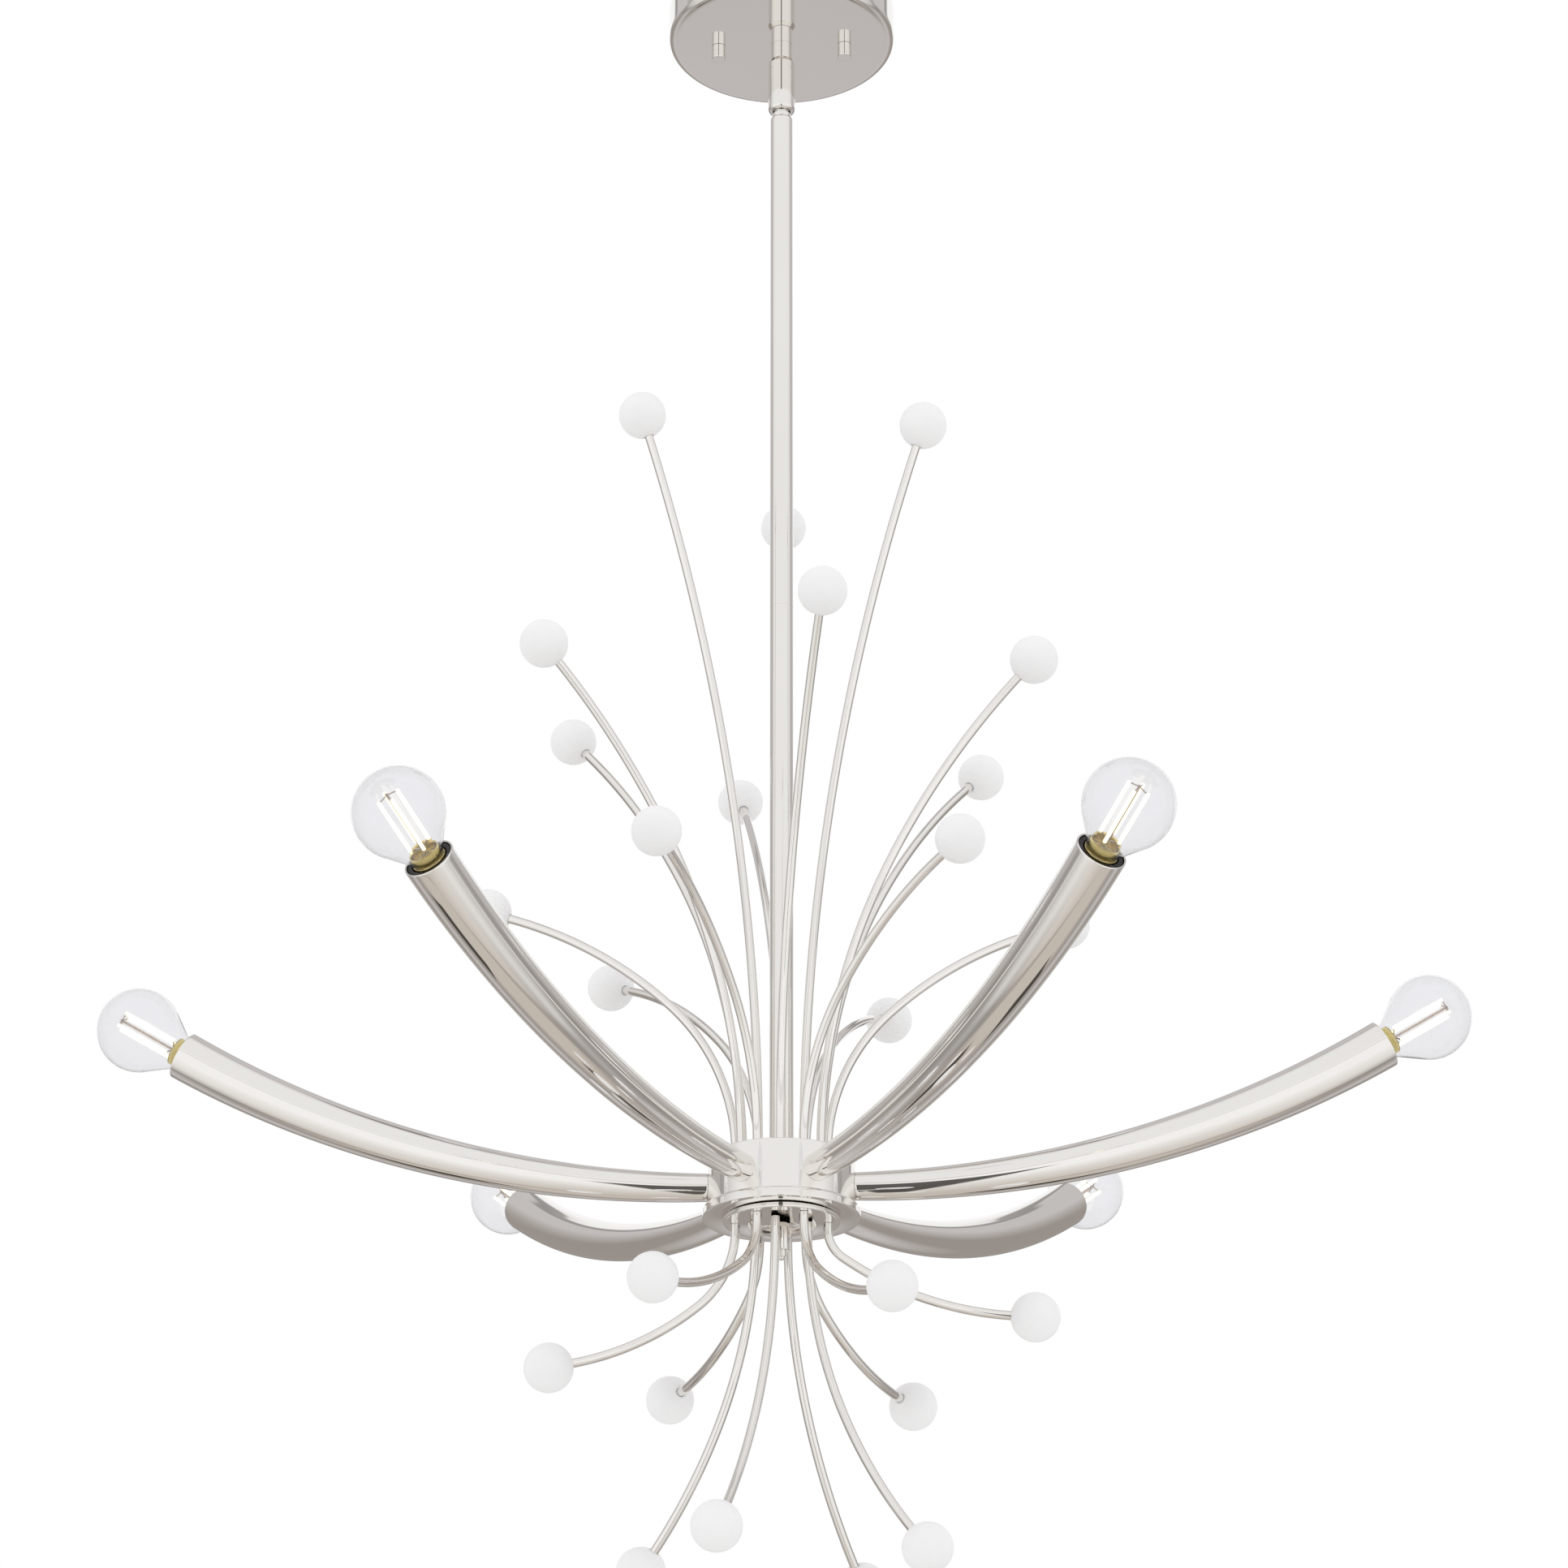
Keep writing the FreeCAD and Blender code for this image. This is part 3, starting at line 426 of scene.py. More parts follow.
def outward(points, faces):
    """The same faces, all turned over if the volume that they enclose is negative."""
    volume = 0.0
    for group in faces:
        for k in range(1, group.shape[1] - 1):
            a, b, c = points[group[:, 0]], points[group[:, k]], points[group[:, k + 1]]
            volume += np.einsum("ij,ij->", a, np.cross(b, c))
    return faces if volume > 0 else [group[:, ::-1] for group in faces]


def joined(shells):
    """One set of points and faces from several closed shells."""
    points, faces, start = [], [], 0
    for shell_points, shell_faces in shells:
        shell_faces = outward(shell_points, shell_faces)
        points.append(shell_points)
        faces += [group + start for group in shell_faces]
        start += len(shell_points)
    return np.concatenate(points), faces


def piece(name, shells, material, body, slot, *nodes):
    """Smooth-shaded mesh object that rides on a body and stands for CAD nodes."""
    points, faces = joined(shells)
    mesh = bpy.data.meshes.new(name)
    corner_lists = [face for group in faces for face in group.tolist()]
    mesh.from_pydata(points.tolist(), [], corner_lists)
    mesh.polygons.foreach_set("use_smooth", np.ones(len(mesh.polygons), bool))
    mesh.materials.append(material)
    mesh.update()
    made = bpy.data.objects.new(name, mesh)
    bpy.context.scene.collection.objects.link(made)
    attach(made, body)
    if nodes:
        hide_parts(*nodes)


def nickel_piece(name, shells, body, node):
    """Piece of polished nickel that stands for one CAD node."""
    piece(name, shells, NICKEL, body, "polished_nickel", node)


def moved(rings, origin, along, side):
    """Rings built on +Z, put at an origin with +Z along one direction, +X to a side."""
    across = np.cross(along, side)
    return origin + rings @ np.stack([side, across, along])


def swept(centres, tangents, radii, side, steps):
    """Rings square to a plane curve: centre + r (cos a * side + sin a * tangent x side)."""
    angle = np.linspace(0, 2 * np.pi, steps, endpoint=False)[None, :, None]
    across = np.cross(tangents, side)[:, None]
    around = np.cos(angle) * side + np.sin(angle) * across
    return centres[:, None] + radii[:, None, None] * around


def polar(radius, azimuth, z):
    """Point at a distance from the axis, an azimuth from the front, a height."""
    angle = math.radians(azimuth)
    return np.array([radius * math.sin(angle), -radius * math.cos(angle), z])


# --------------------------------------------------- canopy, neck and swivel
def canopy():
    """Spun dish: side wall, wide rounded edge and flat floor, with its wall's inside."""
    wall, edge, rim = CANOPY_WALL, CANOPY_EDGE, 0.3 * MM
    floor = CANOPY_Z + wall
    outline = profile(
        [(NIPPLE_BORE, floor), (NIPPLE_BORE, CANOPY_Z), (CANOPY_R, CANOPY_Z), (CANOPY_R, 0),
         (CANOPY_R - wall, 0), (CANOPY_R - wall, floor), (NIPPLE_BORE, floor)],
        [0, 0.2 * MM, edge, rim, rim, edge - wall, 0], steps=14)
    nickel_piece("canopy_shell", [lathed(outline, 180, looped=True)], "canopy", "canopy_dish")


def thumb_nut(side):
    """Plain round nut under the canopy, its lower edge eased."""
    node = "thumb_nut_" + side
    low, high = corners(node)
    radius, pole = (high[0] - low[0]) / 2, 0.2 * MM
    outline = profile([(pole, high[2]), (radius, high[2]), (radius, low[2]), (pole, low[2])],
                      [0, 0.25 * MM, 0.5 * MM, 0])
    rings = turned(outline, 64) + np.array([(low[0] + high[0]) / 2, 0, 0])
    nickel_piece("round_nut_" + side, [skin(rings)], node, node)


def neck():
    """Sleeve between the canopy and the turning barrel."""
    radius, low, high = neck_high[0], neck_low[2], neck_high[2]
    outline = profile([(NIPPLE_BORE, low), (radius, low), (radius, high), (NIPPLE_BORE, high),
                       (NIPPLE_BORE, low)], [0, 0.3 * MM, 0.25 * MM, 0, 0])
    nickel_piece("neck_tube", [lathed(outline, looped=True)], "canopy", "neck_sleeve")


def barrel():
    """Turning barrel: coned shoulder, rounded foot, and a spherical seat over its mouth."""
    radius, low, high = barrel_high[0], barrel_low[2], barrel_high[2]
    ball_z, inside_z = low + BALL_UP, high - BARREL_TOP_T
    shoulder, mouth, bore, seat_r = 3.4 * MM, 6.0 * MM, 7.0 * MM, SWIVEL_BALL_R + SEAT_GAP
    tilt = np.linspace(-math.acos(mouth / seat_r), 0, 5)
    seat = [(seat_r * math.cos(t), ball_z + seat_r * math.sin(t)) for t in tilt]
    outline = profile(
        [(BARREL_BORE, inside_z), (BARREL_BORE, high), (neck_high[0], high),
         (radius, high - shoulder), (radius, low), (mouth, low), *seat,
         (bore, ball_z), (bore, inside_z), (BARREL_BORE, inside_z)],
        [0, 0, 0.25 * MM, 0.5 * MM, 2.6 * MM, 0.25 * MM, *(0 for _ in seat), 0, 0, 0], steps=8)
    nickel_piece("barrel_shell", [lathed(outline, looped=True)], "swivel", "swivel_barrel")


def grub_screw():
    """Socketed grub screw, its end just proud of the barrel's front."""
    low, high = corners("barrel_screw")
    radius, length, middle = (high[0] - low[0]) / 2, high[1] - low[1], (low[2] + high[2]) / 2
    socket, deep, proud, pole = 0.6 * radius, 0.5 * length, 0.1 * MM, 0.1 * MM
    outline = profile(
        [(pole, 0), (radius, 0), (radius, length + proud), (socket, length + proud),
         (socket, length - deep), (pole, length - deep)],
        [0, 0, 0.15 * MM, 0.1 * MM, 0, 0])
    origin, forward = np.array([0, high[1], middle]), np.array([0, -1.0, 0])
    rings = moved(turned(outline, 32), origin, forward, np.array([1.0, 0, 0]))
    piece("grub_screw", [skin(rings)], BLACK, "swivel", "plated_steel", "barrel_screw")


def ball_joint():
    """Swivel ball with its neck, collar and spigot as one turned piece."""
    ball_z = barrel_low[2] + BALL_UP
    rod_z = upper_high[2]
    collar_z, spigot_z = rod_z + COLLAR_L, rod_z - SPIGOT_L
    angle = np.linspace(0.02, math.pi - math.asin(BALL_NECK_R / SWIVEL_BALL_R), 24)
    ball = np.stack([SWIVEL_BALL_R * np.sin(angle), ball_z + SWIVEL_BALL_R * np.cos(angle)], -1)
    below = profile(
        [ball[-1], (BALL_NECK_R, collar_z), (COLLAR_R, collar_z), (COLLAR_R, rod_z),
         (SPIGOT_R, rod_z), (SPIGOT_R, spigot_z), (POLE_R, spigot_z)],
        [0, 0.3 * MM, 0.5 * MM, 0.2 * MM, 0, 0, 0])
    outline = np.concatenate([ball, below[1:]])
    nickel_piece("ball_and_collar", [lathed(outline)], "chandelier", "ball_stem")


def rod(name, node, radius, low, high, top_edge):
    """Straight tube of the rod, closed at its ends, with eased edges."""
    heights = np.linspace(low, high, 14)[1:-1]
    foot = profile([(POLE_R, low), (radius, low), (radius, heights[0])], [0, 0.15 * MM, 0])
    head = profile([(radius, heights[-1]), (radius, high), (POLE_R, high)], [0, top_edge, 0])
    middle = np.stack([np.full(len(heights), radius), heights], -1)
    outline = np.concatenate([foot[:-1], middle, head[1:]])
    nickel_piece(name, [lathed(outline)], "chandelier", node)


# --------------------------------------------------------------------- hub
def drum():
    """Drum that carries the arms: flat top with a small eased edge, upright wall."""
    top, low, inside_z = DRUM_TOP, drum_low[2], DRUM_TOP - PLATE_T
    outline = profile(
        [(HUB_BORE, inside_z), (HUB_BORE, top), (DRUM_R, top), (DRUM_R, low),
         (DRUM_R - DRUM_WALL, low), (DRUM_R - DRUM_WALL, inside_z), (HUB_BORE, inside_z)],
        [0, 0, 0.8 * MM, 0.2 * MM, 0, 0, 0], steps=8)
    nickel_piece("hub_shell", [lathed(outline, 160, looped=True)], "chandelier", "hub_drum")


def pan():
    """Flange under the drum, its upper edge rolled over."""
    radius, low, top, well_z = pan_high[0], pan_low[2], DRUM_END, DRUM_END - PAN_WELL
    outline = profile(
        [(HUB_BORE, well_z), (HUB_BORE, low), (radius, low), (radius, top),
         (DRUM_R - 2 * MM, top), (DRUM_R - 3 * MM, well_z), (HUB_BORE, well_z)],
        [0, 0, 0.5 * MM, 2.5 * MM, 0, 0, 0], steps=10)
    nickel_piece("hub_flange", [lathed(outline, 160, looped=True)], "chandelier", "hub_pan")


def disc():
    """Thin disc that carries the hanging stems."""
    radius, low, top = disc_high[0], disc_low[2], disc_high[2]
    outline = profile(
        [(HUB_BORE, top), (HUB_BORE, low), (radius, low), (radius, top), (HUB_BORE, top)],
        [0, 0, 0.8 * MM, 0.3 * MM, 0], steps=8)
    nickel_piece("hub_plate", [lathed(outline, 160, looped=True)], "chandelier", "hub_disc")


def finial():
    """Sleeve nut with a thinner tip and a small knob."""
    top, radius, tip_r, knob_r = finial_high[2], finial_high[0], FINIAL_TIP_R, FINIAL_KNOB_R
    sleeve_z = top - FINIAL_SLEEVE_L
    tip_z = sleeve_z - FINIAL_TIP_L
    upper = profile(
        [(POLE_R, top), (radius, top), (radius, sleeve_z), (tip_r, sleeve_z), (tip_r, tip_z),
         (knob_r, tip_z)],
        [0, 0.3 * MM, 0.6 * MM, 0.2 * MM, 0.4 * MM, 0])
    angle = np.linspace(0.15, math.pi / 2 - 0.02, 10)
    knob = np.stack([knob_r * np.cos(angle), tip_z - knob_r * np.sin(angle)], -1)
    outline = np.concatenate([upper, knob])
    nickel_piece("lower_finial", [lathed(outline, 64)], "chandelier", "hub_finial")


# -------------------------------------------------------------------- arms
def arm_radius(share):
    """Outer radius at a share of the arm's length from the hub."""
    widening = (1 + ARM_SWELL) * share - ARM_SWELL * share ** 3
    return (ARM_ROOT_D + (ARM_MOUTH_D - ARM_ROOT_D) * widening) / 2


def arm_tube(azimuth):
    """Tapered tube along one arc, its root coped to the drum, its lip rounded.

    Centre at angle t along the arc = (drum radius + R sin t, height + R (1 - cos t));
    the root's rings are slid along the arm until they lie on the drum's cylinder.
    """
    length = ARM_ARC_R * ARM_TURN
    even = np.linspace(ARM_NEXT / length, 1 - ARM_LIP_L / length, 64)
    out_share = np.concatenate([[ARM_FIRST / length], even])
    lip = np.linspace(0, math.pi, 13)
    lip_r = ARM_WALL / 2
    lip_share = 1 - (lip_r - lip_r * np.sin(lip)) / length
    inner_share = np.linspace(1 - ARM_LIP_L / length, 1 - ARM_INSIDE_L / length, 16)
    share = np.concatenate([out_share, lip_share, inner_share])
    shrink = np.concatenate(
        [0 * out_share, lip_r * (1 - np.cos(lip)), 0 * inner_share + ARM_WALL])
    angle = ARM_TURN * share
    centres = np.stack([DRUM_R + ARM_ARC_R * np.sin(angle), 0 * angle,
                        ARM_Z + ARM_ARC_R * (1 - np.cos(angle))], -1)
    tangents = np.stack([np.cos(angle), 0 * angle, np.sin(angle)], -1)
    side = np.array([0.0, 1.0, 0.0])
    steps = 72
    horn = swept(centres, tangents, arm_radius(share) - shrink, side, steps)
    # Root rings: offset from the drum's surface, and how far the edge is drawn in.
    ease = np.linspace(0, math.pi / 2, 6)
    edge = 0.5 * MM
    offset = np.concatenate([[-1.0 * MM], edge * (1 - np.cos(ease)), [1.5 * MM]])
    drawn = np.concatenate([[edge], edge * (1 - np.sin(ease)), [0]])
    rows = (len(offset), 1)
    root = swept(np.tile([0.0, 0.0, ARM_Z], rows), np.tile([1.0, 0.0, 0.0], rows),
                 arm_radius(0.0) - drawn, side, steps)
    root[:, :, 0] = np.sqrt(DRUM_R ** 2 - root[:, :, 1] ** 2) + offset[:, None]
    rings = np.concatenate([root, horn])
    turn = math.radians(azimuth - 90)
    cos, sin = math.cos(turn), math.sin(turn)
    spin = np.array([[cos, sin, 0], [-sin, cos, 0], [0, 0, 1]])
    return skin(rings @ spin)


def at_mouth(rings, azimuth):
    """Rings built on +Z, their zero at the mouth's plane, put into an arm's mouth."""
    outward_dir = polar(1.0, azimuth, 0.0)
    along = outward_dir * math.cos(ARM_TURN) + UP * math.sin(ARM_TURN)
    side = np.cross(UP, outward_dir)
    return moved(rings, polar(MOUTH_R, azimuth, MOUTH_Z), along, side)


def holder_outline():
    """Lampholder: front ring, recess for the bulb's collar, bore and body."""
    front, ring_r, body_r = HOLDER_FRONT, HOLDER_RING_R, HOLDER_BODY_R
    recess_r, bore_r = CAP_COLLAR_R + 0.7 * MM, CAP_R + 0.35 * MM
    ring_z, recess_z = front - HOLDER_RING_T, front - HOLDER_RECESS_L
    bore_z, back_z = front - HOLDER_BORE_L, front - HOLDER_L
    small, wide = 0.3 * MM, 0.6 * MM
    return profile(
        [(POLE_R, bore_z), (bore_r, bore_z), (bore_r, recess_z), (recess_r, recess_z),
         (recess_r, front), (ring_r, front), (ring_r, ring_z), (body_r, ring_z),
         (body_r, back_z), (POLE_R, back_z)],
        [0, small, small, small, wide, wide, small, small, 0.8 * MM, 0])


# ------------------------------------------------------------------- bulbs
def envelope(inset):
    """Outline of the globe and its tangent cone and neck, from the top to the foot."""
    globe_r, neck_r = BULB_R - inset, BULB_NECK_R - inset
    drop = BULB_REACH - BULB_NECK_Z
    tangent = math.atan2(neck_r, drop) + math.acos(globe_r / math.hypot(neck_r, drop))
    angle = np.linspace(0.01, math.pi - tangent, 60)
    globe = np.stack([globe_r * np.sin(angle), BULB_REACH + globe_r * np.cos(angle)], -1)
    cone = profile([globe[-1], (neck_r, BULB_NECK_Z), (neck_r, BULB_FOOT_Z)], [0, 1.2 * MM, 0])
    return np.concatenate([globe, cone[1:]])


def globe_outline():
    """Outer and inner wall of the bulb's glass, joined at the foot."""
    return np.concatenate([envelope(0.0), envelope(BULB_WALL)[::-1]])


def neck_band():
    """Gold-coloured lining of the neck, just inside the glass."""
    wall = envelope(BULB_WALL + BAND_GAP)
    outer = np.array([(wall[-1, 0], height) for height in np.linspace(BAND_TOP, 0, 4)])
    return np.concatenate([outer, outer[::-1] - [BAND_T, 0]])


def cap_rings():
    """Screw cap: collar, helical thread and contact.

    Thread's radius = R - depth (1 + cos(2 pi z / pitch - a)) / 2 at angle a.
    """
    collar_end = BULB_FOOT_Z - CAP_COLLAR_L
    thread_top = collar_end - CAP_TAPER_L
    thread_end = thread_top - CAP_L
    contact_z = thread_end - CAP_CONE_L
    tip_z = contact_z - CAP_CONTACT_L
    top = profile([(POLE_R, BULB_FOOT_Z), (CAP_COLLAR_R, BULB_FOOT_Z),
                   (CAP_COLLAR_R, collar_end), (CAP_R, thread_top)], [0, 0.3 * MM, 0.6 * MM, 0])
    thread = np.stack([np.full(70, CAP_R), np.linspace(thread_top, thread_end, 71)[1:]], -1)
    tip = profile([(CAP_R, thread_end), (CAP_CONTACT_R, contact_z), (CAP_CONTACT_R, tip_z),
                   (POLE_R, tip_z)], [0, 0.2 * MM, 0.5 * MM, 0])
    rings = turned(np.concatenate([top, thread, tip[1:]]), 48)
    height = rings[:, :, 2]
    angle = np.arctan2(rings[:, :, 1], rings[:, :, 0])
    fade_in = np.clip((thread_top - height) / THREAD_FADE, 0, 1)
    fade_out = np.clip((height - thread_end) / THREAD_FADE, 0, 1)
    wave = (1 + np.cos(2 * math.pi * height / THREAD_PITCH - angle)) / 2
    groove = fade_in * fade_out * THREAD_DEPTH * wave
    rings[:, :, :2] *= (1 - groove / np.hypot(rings[:, :, 0], rings[:, :, 1]))[:, :, None]
    return rings


def rod_rings(start, end, radius, steps=10, ends=0.35):
    """Short round rod between two points with eased ends."""
    start, end = np.array(start, float), np.array(end, float)
    along = (end - start) / np.linalg.norm(end - start)
    length = np.linalg.norm(end - start)
    eased = ends * radius
    outline = profile([(0.1 * radius, 0), (radius, 0), (radius, length), (0.1 * radius, length)],
                      [0, eased, eased, 0], steps=3)
    helper = UP if abs(along[2]) < 0.9 else np.array([1.0, 0.0, 0.0])
    side = np.cross(along, helper)
    return moved(turned(outline, steps), start, along, side / np.linalg.norm(side))


def filament_places():
    """Low and high end of each of the four upright sticks."""
    high = FILAMENT_LOW + FILAMENT_L
    return [(polar(FILAMENT_RING, azimuth, FILAMENT_LOW), polar(FILAMENT_RING, azimuth, high))
            for azimuth in (45, 135, 225, 315)]


def stick_rings():
    """The glowing sticks."""
    return [rod_rings(low, high, FILAMENT_R, 14) for low, high in filament_places()]


def mount_outline():
    """Flared glass mount that carries the wires."""
    low, pole = BULB_FOOT_Z, 0.2 * MM
    flare_z, top = low + MOUNT_FLARE_L, low + MOUNT_TUBE_L
    return profile([(pole, low), (MOUNT_BASE_R, low), (MOUNT_TUBE_R, flare_z),
                    (MOUNT_TUBE_R, top), (pole, top)], [0, 0.4 * MM, 2.5 * MM, 1.0 * MM, 0])


def wire_rings():
    """Centre rod and the slanting leads that hold the sticks at both ends."""
    low, high = FILAMENT_LOW - LEAD_RISE, FILAMENT_LOW + FILAMENT_L
    rings = [rod_rings((0, 0, MOUNT_ROD_LOW), (0, 0, high + LEAD_RISE), MOUNT_ROD_R, 12)]
    for low_end, high_end in filament_places():
        rings.append(rod_rings((0, 0, low), low_end + UP * LEAD_IN, LEAD_R, 8))
        rings.append(rod_rings((0, 0, high + LEAD_RISE / 2), high_end - UP * LEAD_IN, LEAD_R, 8))
    return rings


def bulb(number, azimuth):
    """Glass, cap, neck lining, sticks, mount and wires of one bulb."""
    body, mark = "bulb_%d" % number, "_%d" % number

    def place(rings):
        return skin(at_mouth(rings, azimuth))

    piece("globe" + mark, [place(turned(globe_outline(), 96))], GLASS, body, "clear_glass",
          "bulb_glass" + mark)
    piece("screw_cap" + mark, [place(cap_rings())], BRASS, body, "brass_cap", "bulb_cap" + mark)
    lining = at_mouth(turned(neck_band(), 64), azimuth)
    piece("neck_band" + mark, [skin(lining, looped=True)], BRASS, body, "brass_cap")
    piece("glow_sticks" + mark, [place(rings) for rings in stick_rings()], GLOW, body,
          "filament_mount", "bulb_filament" + mark)
    piece("glass_mount" + mark, [place(turned(mount_outline(), 32))], GLASS, body,
          "filament_mount")
    piece("lead_wires" + mark, [place(rings) for rings in wire_rings()], SOLDER, body,
          "filament_mount")


# ---------------------------------------------------------- stems and balls
def stem_path(ring_r, side, row):
    """Centre line of one stem, its directions, and the side vector of its plane.

    A straight lead, then two tangent arcs of radii r1 and r2 that lean out to a
    and b from upright: out = r1 (1 - cos a) + r2 (cos a - cos b),
    rise = r1 sin a + r2 (sin b - sin a). It stops one ball radius short of the
    ball's centre and runs straight into the ball.
    """
    root_az, ball_az, reach, height = row
    face = DRUM_TOP if side > 0 else DISC_END
    root = polar(ring_r * MM, root_az, face)
    ball = polar(reach * MM, ball_az, face + side * height * MM)
    spread = (ball - root) * [1, 1, 0]
    out = np.linalg.norm(spread)
    rise = height * MM - STEM_LEAD
    outward_dir = spread / out
    chord = math.degrees(math.atan2(out, rise))
    b = math.radians(2 * chord * (1 - STEM_LEVELLING * (chord / STEM_WIDE) ** 2))
    a = b * STEM_SPLIT
    terms = np.array([[1 - math.cos(a), math.cos(a) - math.cos(b)],
                      [math.sin(a), math.sin(b) - math.sin(a)]])
    r1, r2 = np.linalg.solve(terms, [out, rise])
    c = b - BALL_R / r2
    lead = np.linspace(0, STEM_LEAD, 4)[:-1]
    first = np.linspace(0, a, 26)[:-1]
    second = np.linspace(a, c, 20)
    lean = np.concatenate([0 * lead, first, second])
    across = np.concatenate([0 * lead, r1 * (1 - np.cos(first)),
                             r1 * (1 - math.cos(a)) + r2 * (math.cos(a) - np.cos(second))])
    along = np.concatenate([lead, STEM_LEAD + r1 * np.sin(first),
                            STEM_LEAD + r1 * math.sin(a) + r2 * (np.sin(second) - math.sin(a))])
    centres = root + across[:, None] * outward_dir + side * along[:, None] * UP
    tangents = np.sin(lean)[:, None] * outward_dir + side * np.cos(lean)[:, None] * UP
    return centres, tangents, np.cross(outward_dir, UP)


def stem(ring_r, side, row):
    """Round bent rod with an eased foot, run on into its ball."""
    centres, tangents, binormal = stem_path(ring_r, side, row)
    foot = 0.3 * MM
    ease = np.linspace(0, math.pi / 2, 5)[:-1]
    start = centres[0] + (foot * (1 - np.cos(ease)))[:, None] * tangents[0]
    end = centres[-1] + tangents[-1] * BALL_SEAT
    line = np.concatenate([start, centres[0:1] + foot * tangents[0], centres[1:], end[None]])
    ways = np.concatenate([np.tile(tangents[0], (5, 1)), tangents[1:], tangents[-1:]])
    radii = np.full(len(line), STEM_R)
    radii[:4] = STEM_R - foot * (1 - np.sin(ease))
    return skin(swept(line, ways, radii, binormal, 28))


def ball(ring_r, side, row):
    """Sphere on the stem's end, drilled for it, the drilling's lip eased."""
    centres, tangents, binormal = stem_path(ring_r, side, row)
    bore = STEM_R + BALL_SIDE_GAP
    lip = math.asin((bore + 0.15 * MM) / BALL_R)
    angle = np.linspace(math.pi - lip, 0.02, 44)
    sphere = np.stack([BALL_R * np.sin(angle), BALL_R * np.cos(angle)], -1)
    seat = -BALL_R + BALL_SEAT + BALL_END_GAP
    lip_z = -BALL_R * math.cos(lip)
    inner = profile([(POLE_R, seat), (bore, seat), (bore, lip_z + 0.3 * MM), sphere[0]],
                    [0, 0.3 * MM, 0.1 * MM, 0])
    rings = turned(np.concatenate([inner[:-1], sphere]), 64)
    centre = centres[-1] + tangents[-1] * BALL_R
    return skin(moved(rings, centre, tangents[-1], binormal))


# ------------------------------------------------------------------- build
canopy()
thumb_nut("left")
thumb_nut("right")
neck()
barrel()
grub_screw()
ball_joint()
rod("rod_tube_upper", "rod_upper", upper_high[0], upper_low[2], upper_high[2], top_edge=2.0 * MM)
rod("rod_tube_lower", "rod_lower", lower_high[0], lower_low[2], lower_high[2], top_edge=0.15 * MM)
drum()
pan()
disc()
finial()

holder_shells = []
for number, azimuth in enumerate(ARM_AZIMUTHS, start=1):
    nickel_piece("arm_tube_%d" % number, [arm_tube(azimuth)], "chandelier", "arm_%d" % number)
    holder_shells.append(skin(at_mouth(turned(holder_outline(), 72), azimuth)))
    bulb(number, azimuth)
piece("lampholder_set", holder_shells, BLACK, "chandelier", "black_phenolic", "lampholders")

for tier, (ring_r, side, rows) in TIERS.items():
    nickel_piece("stem_rods_" + tier, [stem(ring_r, side, row) for row in rows], "chandelier",
                 "stems_" + tier)
    piece("frosted_balls_" + tier, [ball(ring_r, side, row) for row in rows], FROST, "chandelier",
          "frosted_ball", "balls_" + tier)

# Fittings that no made piece stands for keep their CAD solids and get a finish.
STEEL_FITTINGS = ("mounting_bar", "canopy_studs", "stud_nuts", "canopy_nipple", "nipple_nut",
                  "swivel_keeper", "rod_coupling", "hub_nipple", "hub_nut", "arm_nuts")
for node in ("ground_screw",) + STEEL_FITTINGS:
    for material_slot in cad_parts[node].material_slots:
        material_slot.link = "OBJECT"
        material_slot.material = GREEN if node == "ground_screw" else STEEL


# ------------------------------------------------------- floor, light, view
def pale_floor():
    """Plain pale floor, far below; mirrors see the studio instead of it."""
    reach, height = 400.0, -3.6
    mesh = bpy.data.meshes.new("floor")
    ends = ((-reach, -reach), (reach, -reach), (reach, reach), (-reach, reach))
    mesh.from_pydata([(x, y, height) for x, y in ends], [], [(0, 1, 2, 3)])
    material, p = finish("floor")
    speckle = p.noise(3.0, 4.0)
    p.surface(Base_Color=p.mix(speckle, rgb(0.86, 0.86, 0.85), rgb(0.90, 0.90, 0.89)),
              Roughness=0.8, Specular_IOR_Level=0.2)
    mesh.materials.append(material)
    floor = bpy.data.objects.new("floor", mesh)
    bpy.context.scene.collection.objects.link(floor)
    floor.visible_glossy = False


# Tones of the room that mirrors see.
WHITE, CEILING, GREY = (1.0, 1.0, 1.0), (0.90, 0.90, 0.90), (0.60, 0.58, 0.58)
GLOOM, FLOOR, PALE_FLOOR = (0.35, 0.32, 0.30), (0.60, 0.55, 0.50), (0.80, 0.78, 0.75)
SHADOW_LINE, DARK_THING = (0.16, 0.15, 0.14), (0.04, 0.035, 0.03)

# The tones by degrees above the horizon: before the part, and round its sides and back.
AHEAD = ((-90, FLOOR), (-50, PALE_FLOOR), (-20, WHITE), (10, WHITE), (20, CEILING),
         (70, CEILING), (90, GREY))
AROUND = ((-90, FLOOR), (-60, FLOOR), (-45, GLOOM), (-30, GREY), (-15, GLOOM), (5, GLOOM),
          (30, GREY), (90, GREY))

# Dark things that stand about the room, in degrees: middle and half width to the side,
# then middle and half height above the horizon.
STANDS = ((0.0, 4.0, -40.0, 32.0), (160.0, 8.0, -55.0, 5.0), (-140.0, 8.0, -55.0, 5.0))


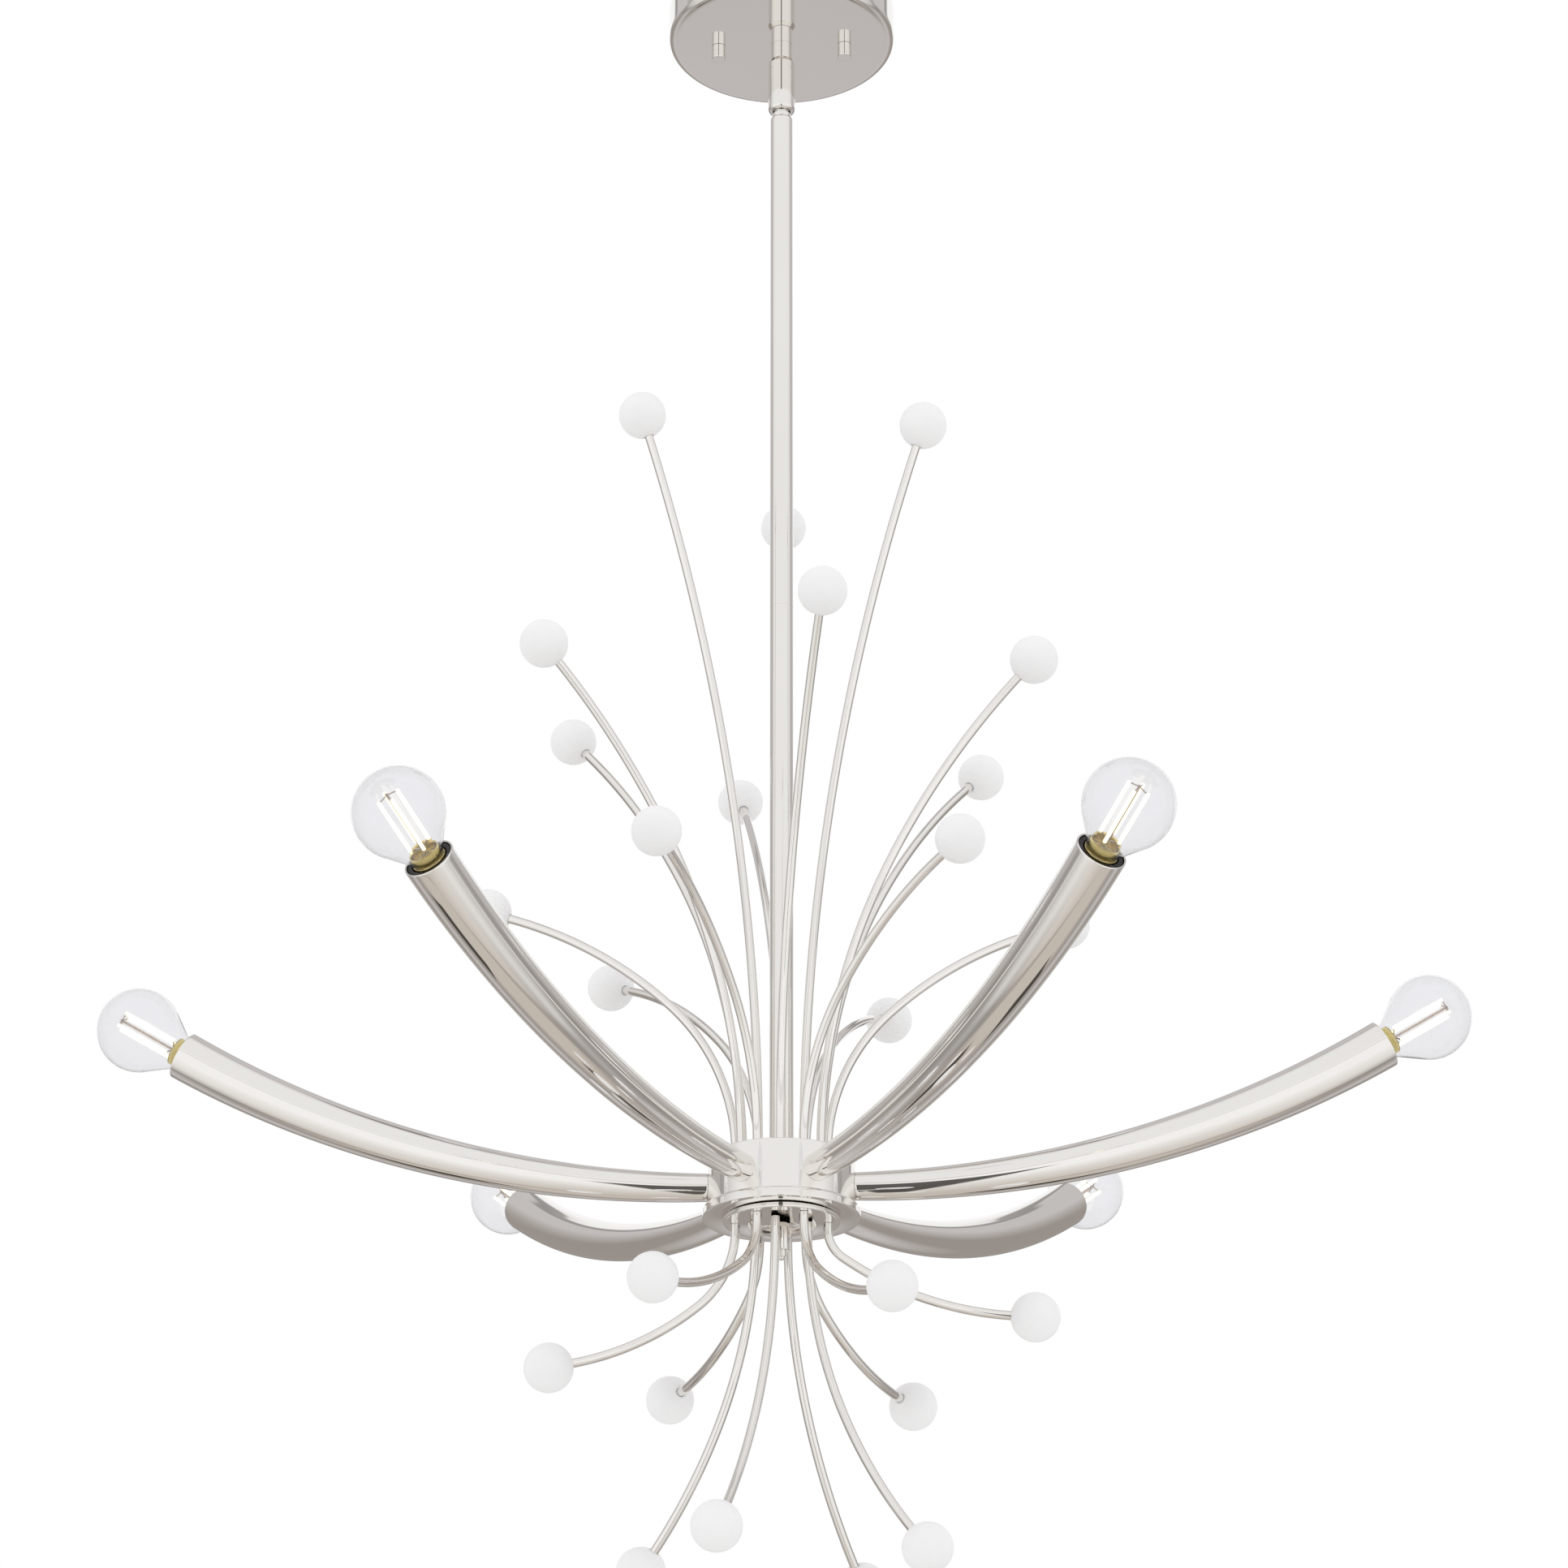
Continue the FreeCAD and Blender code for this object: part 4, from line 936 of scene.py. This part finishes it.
def studio():
    """Even white room; mirrors see a bright front, grey sides and a white backdrop.

    level is in degrees above the horizon, turn in degrees from the front towards +X.
    """
    world = bpy.data.worlds.new("studio")
    bpy.context.scene.world = world
    p = Paint(world)
    way = p.node("ShaderNodeTexCoord", out="Generated")
    split = p.tree.nodes.new("ShaderNodeSeparateXYZ")
    p.tree.links.new(way.socket, split.inputs[0])
    x, y, z = (Signal(p, split.outputs[k]) for k in range(3))
    level = z.math("ARCSINE") * (180 / math.pi)
    turn = x.math("ARCTAN2", y * -1.0) * (180 / math.pi)
    height = (level + 90.0) / 180.0
    ahead, around = (
        p.node("ShaderNodeValToRGB", {"stops": [
            ((degrees + 90.0) / 180.0, tone) for degrees, tone in tones]}, {0: height})
        for tones in (AHEAD, AROUND))
    aside = turn.math("ABSOLUTE")
    room = p.mix(aside.ease(120.0, 60.0), around, ahead)
    # Behind the part hangs a white backdrop, with a dark frame round it.
    backdrop = aside.ease(130.0, 146.0) * level.ease(3.0, 15.0) * level.ease(56.0, 42.0)
    room = p.mix(backdrop, room, rgb(*WHITE))
    frame_line = backdrop.band(0.34, 0.20, 0.12) * 0.65
    ceiling_line = level.band(82.5, 1.2, 1.2) * 0.75
    lamp_line = level.band(11.5, 1.0, 1.2) * aside.ease(90.0, 70.0) * 0.22
    lines = frame_line.math("MAXIMUM", ceiling_line).math("MAXIMUM", lamp_line)
    room = p.mix(lines, room, rgb(*SHADOW_LINE))
    side_strip = aside.band(104.0, 3.0, 6.0) * 0.4
    seen = p.mix(side_strip, room, rgb(*SHADOW_LINE))
    for aside_mid, aside_half, level_mid, level_half in STANDS:
        stand = turn.band(aside_mid, aside_half, 0.8) * level.band(level_mid, level_half, 2.5)
        seen = p.mix(stand * 0.92, seen, rgb(*DARK_THING))
    path = p.tree.nodes.new("ShaderNodeLightPath")
    glossy = Signal(p, path.outputs["Is Glossy Ray"])
    through = Signal(p, path.outputs["Is Transmission Ray"])
    colour = p.mix(glossy * (1.0 - through), rgb(*WHITE), seen)
    shader = p.node("ShaderNodeBackground", {}, {"Color": colour, "Strength": 1.0})
    p.node("ShaderNodeOutputWorld", {}, {"Surface": shader})


def photographer():
    """Camera at the photograph's place: below the hub, tilted up. Lengths in pixels or m."""
    sensor, focal_px, picture = 36.0, 5430.0, 1932.0
    centre_x, centre_y = 963.0, 1008.0
    distance, height, yaw, pitch = 2.553, -1.650, math.radians(1.69), math.radians(22.54)
    lens = bpy.data.cameras.new("camera")
    lens.sensor_width = sensor
    lens.lens = sensor * focal_px / picture
    lens.shift_x = (picture / 2 - centre_x) / picture
    lens.shift_y = (centre_y - picture / 2) / picture
    lens.clip_end = 50.0
    view = bpy.data.objects.new("camera", lens)
    view.location = (distance * math.sin(yaw), -distance * math.cos(yaw), height)
    view.rotation_euler = (math.pi / 2 + pitch, 0.0, yaw)
    bpy.context.scene.collection.objects.link(view)
    bpy.context.scene.camera = view


pale_floor()
studio()
photographer()
bpy.context.scene.view_settings.view_transform = "Standard"
